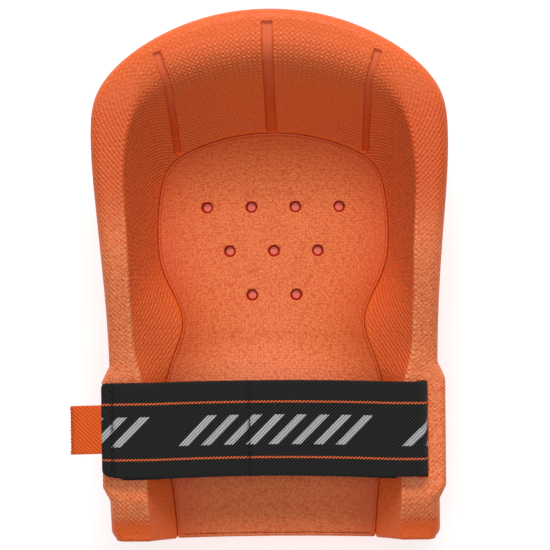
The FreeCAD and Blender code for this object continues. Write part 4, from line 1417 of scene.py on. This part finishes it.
# %% Ribbon, tapes and thread
def ribbed_cloth(name, dark, bright, roughness=0.6, sheen=0.2):
    finish, tree, surface = new_finish(name)
    uv = node(tree, "ShaderNodeUVMap", uv_map="cloth").outputs["UV"]
    rib = calc(tree, "MULTIPLY_ADD", value_of(tree, "rib"), 0.5, 0.5)
    fuzz = cloud(tree, uv, 2.4, 4.0, 0.65)
    # Painted light: the rib tops get the bright colour as highlight and the furrows the dark one as shade,
    # broken up by random fuzz.
    share = calc(tree, "MULTIPLY_ADD", rib, 0.65, calc(tree, "MULTIPLY", fuzz, 0.35))
    tree.links.new(blend_colour(tree, share, dark, bright), surface.inputs["Base Color"])
    tree.links.new(calc(tree, "MULTIPLY_ADD", fuzz, 0.2, roughness - 0.1), surface.inputs["Roughness"])
    yarns = node(tree, "ShaderNodeTexWave", {"Vector": uv, "Scale": 1.0, "Distortion": 0.8},
                 bands_direction="Y")
    tree.links.new(bumps(tree, yarns.outputs["Fac"], 0.0001, 0.6), surface.inputs["Normal"])
    surface.inputs["Specular IOR Level"].default_value = 0.25
    surface.inputs["Sheen Weight"].default_value = sheen
    return finish


def thread_finish(name, dark, bright, roughness=0.5):
    finish, tree, surface = new_finish(name)
    place = place_of(tree)
    twist = node(tree, "ShaderNodeTexWave", {"Vector": place, "Scale": 900.0, "Distortion": 1.5},
                 bands_direction="DIAGONAL")
    fluff = calc(tree, "MULTIPLY", cloud(tree, place, 800.0), 0.4)
    share = calc(tree, "MULTIPLY_ADD", twist.outputs["Fac"], 0.6, fluff)
    tree.links.new(blend_colour(tree, share, dark, bright), surface.inputs["Base Color"])
    tree.links.new(calc(tree, "MULTIPLY_ADD", share, 0.2, roughness), surface.inputs["Roughness"])
    tree.links.new(bumps(tree, twist.outputs["Fac"], 0.00006, 0.7), surface.inputs["Normal"])
    return finish


# %% Give every piece its finish
def dress(piece, *finishes):
    """Fills the material slots in order; a face keeps the slot number that it was cut with."""
    slots = piece.data.materials
    for number, finish in enumerate(finishes):
        if number < len(slots):
            slots[number] = finish
        else:
            slots.append(finish)


elastic = woven_elastic()
tape_cloth = ribbed_cloth("tape_cloth", srgb(12, 12, 14), srgb(42, 42, 46))
dress(shell, shell_foam(), groove_foam())
dress(cushion, cushion_foam(), vent_foam())
for strap in (strap_upper, strap_lower, strap_under):
    dress(strap, elastic)
dress(pull_tab, ribbed_cloth("tab_ribbon", srgb(206, 48, 4), srgb(255, 120, 40), 0.7, 0.0))
dress(hook_cloth, tape_cloth)
dress(loop_cloth, tape_cloth)
dress(hook_threads, thread_finish("hook_nylon", srgb(20, 20, 22), srgb(70, 70, 76), 0.3))
dress(loop_threads, thread_finish("loop_pile", srgb(16, 16, 18), srgb(60, 60, 64), 0.6))
black_thread = thread_finish("black_thread", srgb(3, 3, 4), srgb(26, 27, 30))
for thread in (end_thread, mid_thread, loop_thread):
    dress(thread, black_thread)
print(len(bpy.data.materials), "materials")

# %% [markdown]
# ## Onto the frame
#
# Each finished piece stands for its plain solid and rides on that solid's body.  The two runs of
# the strap cross a hinge where they leave the slots, and the pull tab crosses one at the strap's
# free end, so these three bend smoothly between two bodies instead of riding on one.

# %% Ride, replace and bend
def join_frame(piece, node_name=None, body=None, bend=None):
    if node_name:
        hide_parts(node_name)
    if bend:
        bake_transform(piece, bend[2], body, start=bend[0], end=bend[1])
    else:
        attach(piece, body)


def point(x, z):
    return (x * MM, strap_y * MM, z * MM)


flap_bend = (point(hinge_x - 1.5, flap_z), point(hinge_x - 20.0, flap_z), "pad")
run_bend = (point(1.5 - hinge_x, rest_z), point(15.0 - hinge_x, rest_z), "pad")
tab_bend = (point(tab_high[0], flap_z), point(tab_high[0] - 3.0, flap_z), "flap")
join_frame(shell, "shell", "pad")
join_frame(cushion, "knee_cushion", "pad")
join_frame(strap_under, "strap_band", "pad")
join_frame(strap_upper, "strap_flap", "flap", flap_bend)
join_frame(strap_lower, "strap_lower", "lower_run", run_bend)
join_frame(hook_cloth, "hook_tape", "flap")
join_frame(hook_threads, None, "flap")
join_frame(loop_cloth, "loop_tape", "lower_run")
join_frame(loop_threads, None, "lower_run")
join_frame(pull_tab, "pull_tab", "tab", tab_bend)
join_frame(end_thread, "end_stitches", "flap")
join_frame(mid_thread, "mid_stitches", "flap")
join_frame(loop_thread, "loop_stitches", "lower_run")

# %% [markdown]
# ## Floor, light and camera
#
# The pad lies on a pale floor that glows a little, which keeps it white beside the foam.  A soft
# light beyond the knee end makes the walls that face it bright and leaves the knee end's own wall
# in shade, and a larger one overhead fills that shade.  A long lens, 1.8 m above the pad and about
# two degrees off straight down, shows the near and far walls in nearly their true proportions.

# %% Floor
def studio_floor():
    size = 3.0
    mesh = bpy.data.meshes.new("studio_floor")
    corners = [(-size, -size, 0), (size, -size, 0), (size, size, 0), (-size, size, 0)]
    mesh.from_pydata(corners, [], [(0, 1, 2, 3)])
    floor = bpy.data.objects.new("studio_floor", mesh)
    bpy.context.scene.collection.objects.link(floor)
    finish, tree, surface = new_finish("pale_floor")
    soft = cloud(tree, place_of(tree), 3.0)
    pale = blend_colour(tree, soft, (0.58, 0.58, 0.58, 1), (0.62, 0.62, 0.62, 1))
    tree.links.new(pale, surface.inputs["Base Color"])
    surface.inputs["Roughness"].default_value = 0.9
    surface.inputs["Emission Color"].default_value = (1.0, 1.0, 1.0, 1.0)
    surface.inputs["Emission Strength"].default_value = 0.62
    dress(floor, finish)
    floor.location.z = -0.0004
    return floor


floor = studio_floor()
print("floor", [round(v, 1) for v in floor.dimensions], "m")


# %% Lights
def soft_box(name, place, target, size, power):
    light = bpy.data.lights.new(name, "AREA")
    light.shape, light.size, light.size_y = "RECTANGLE", size[0], size[1]
    light.energy = power
    lamp = bpy.data.objects.new(name, light)
    lamp.location = place
    lamp.rotation_euler = (Vector(target) - Vector(place)).to_track_quat("-Z", "Y").to_euler()
    bpy.context.scene.collection.objects.link(lamp)
    return lamp


soft_box("key", place=(0.05, 1.4, 1.3), target=(0.0, 0.0, 0.03), size=(0.9, 0.5), power=22.5)
soft_box("top", place=(0.0, -0.1, 1.9), target=(0.0, 0.0, 0.0), size=(1.6, 1.6), power=10.5)
world = bpy.data.worlds.new("studio")
world.use_nodes = True
world.node_tree.nodes["Background"].inputs["Color"].default_value = (1.0, 1.0, 1.0, 1.0)
world.node_tree.nodes["Background"].inputs["Strength"].default_value = 0.27
bpy.context.scene.world = world
bpy.context.scene.view_settings.view_transform = "Standard"

# %% Camera
camera_data = bpy.data.cameras.new("camera")
camera = bpy.data.objects.new("camera", camera_data)
bpy.context.scene.collection.objects.link(camera)
distance = 1.8
side_tilt = math.radians(2.1)
knee_tilt = math.radians(2.3)
camera_roll = math.radians(-0.66)
target = Vector((0.0024, 0.0003, 0.055))
camera.rotation_euler = (-knee_tilt, side_tilt, camera_roll)
camera.location = target + distance * Vector((math.sin(side_tilt), math.sin(knee_tilt), math.cos(side_tilt)))
camera_data.lens, camera_data.sensor_width = 250.0, 36.0
bpy.context.scene.camera = camera
print("camera at", [round(v, 3) for v in camera.location])
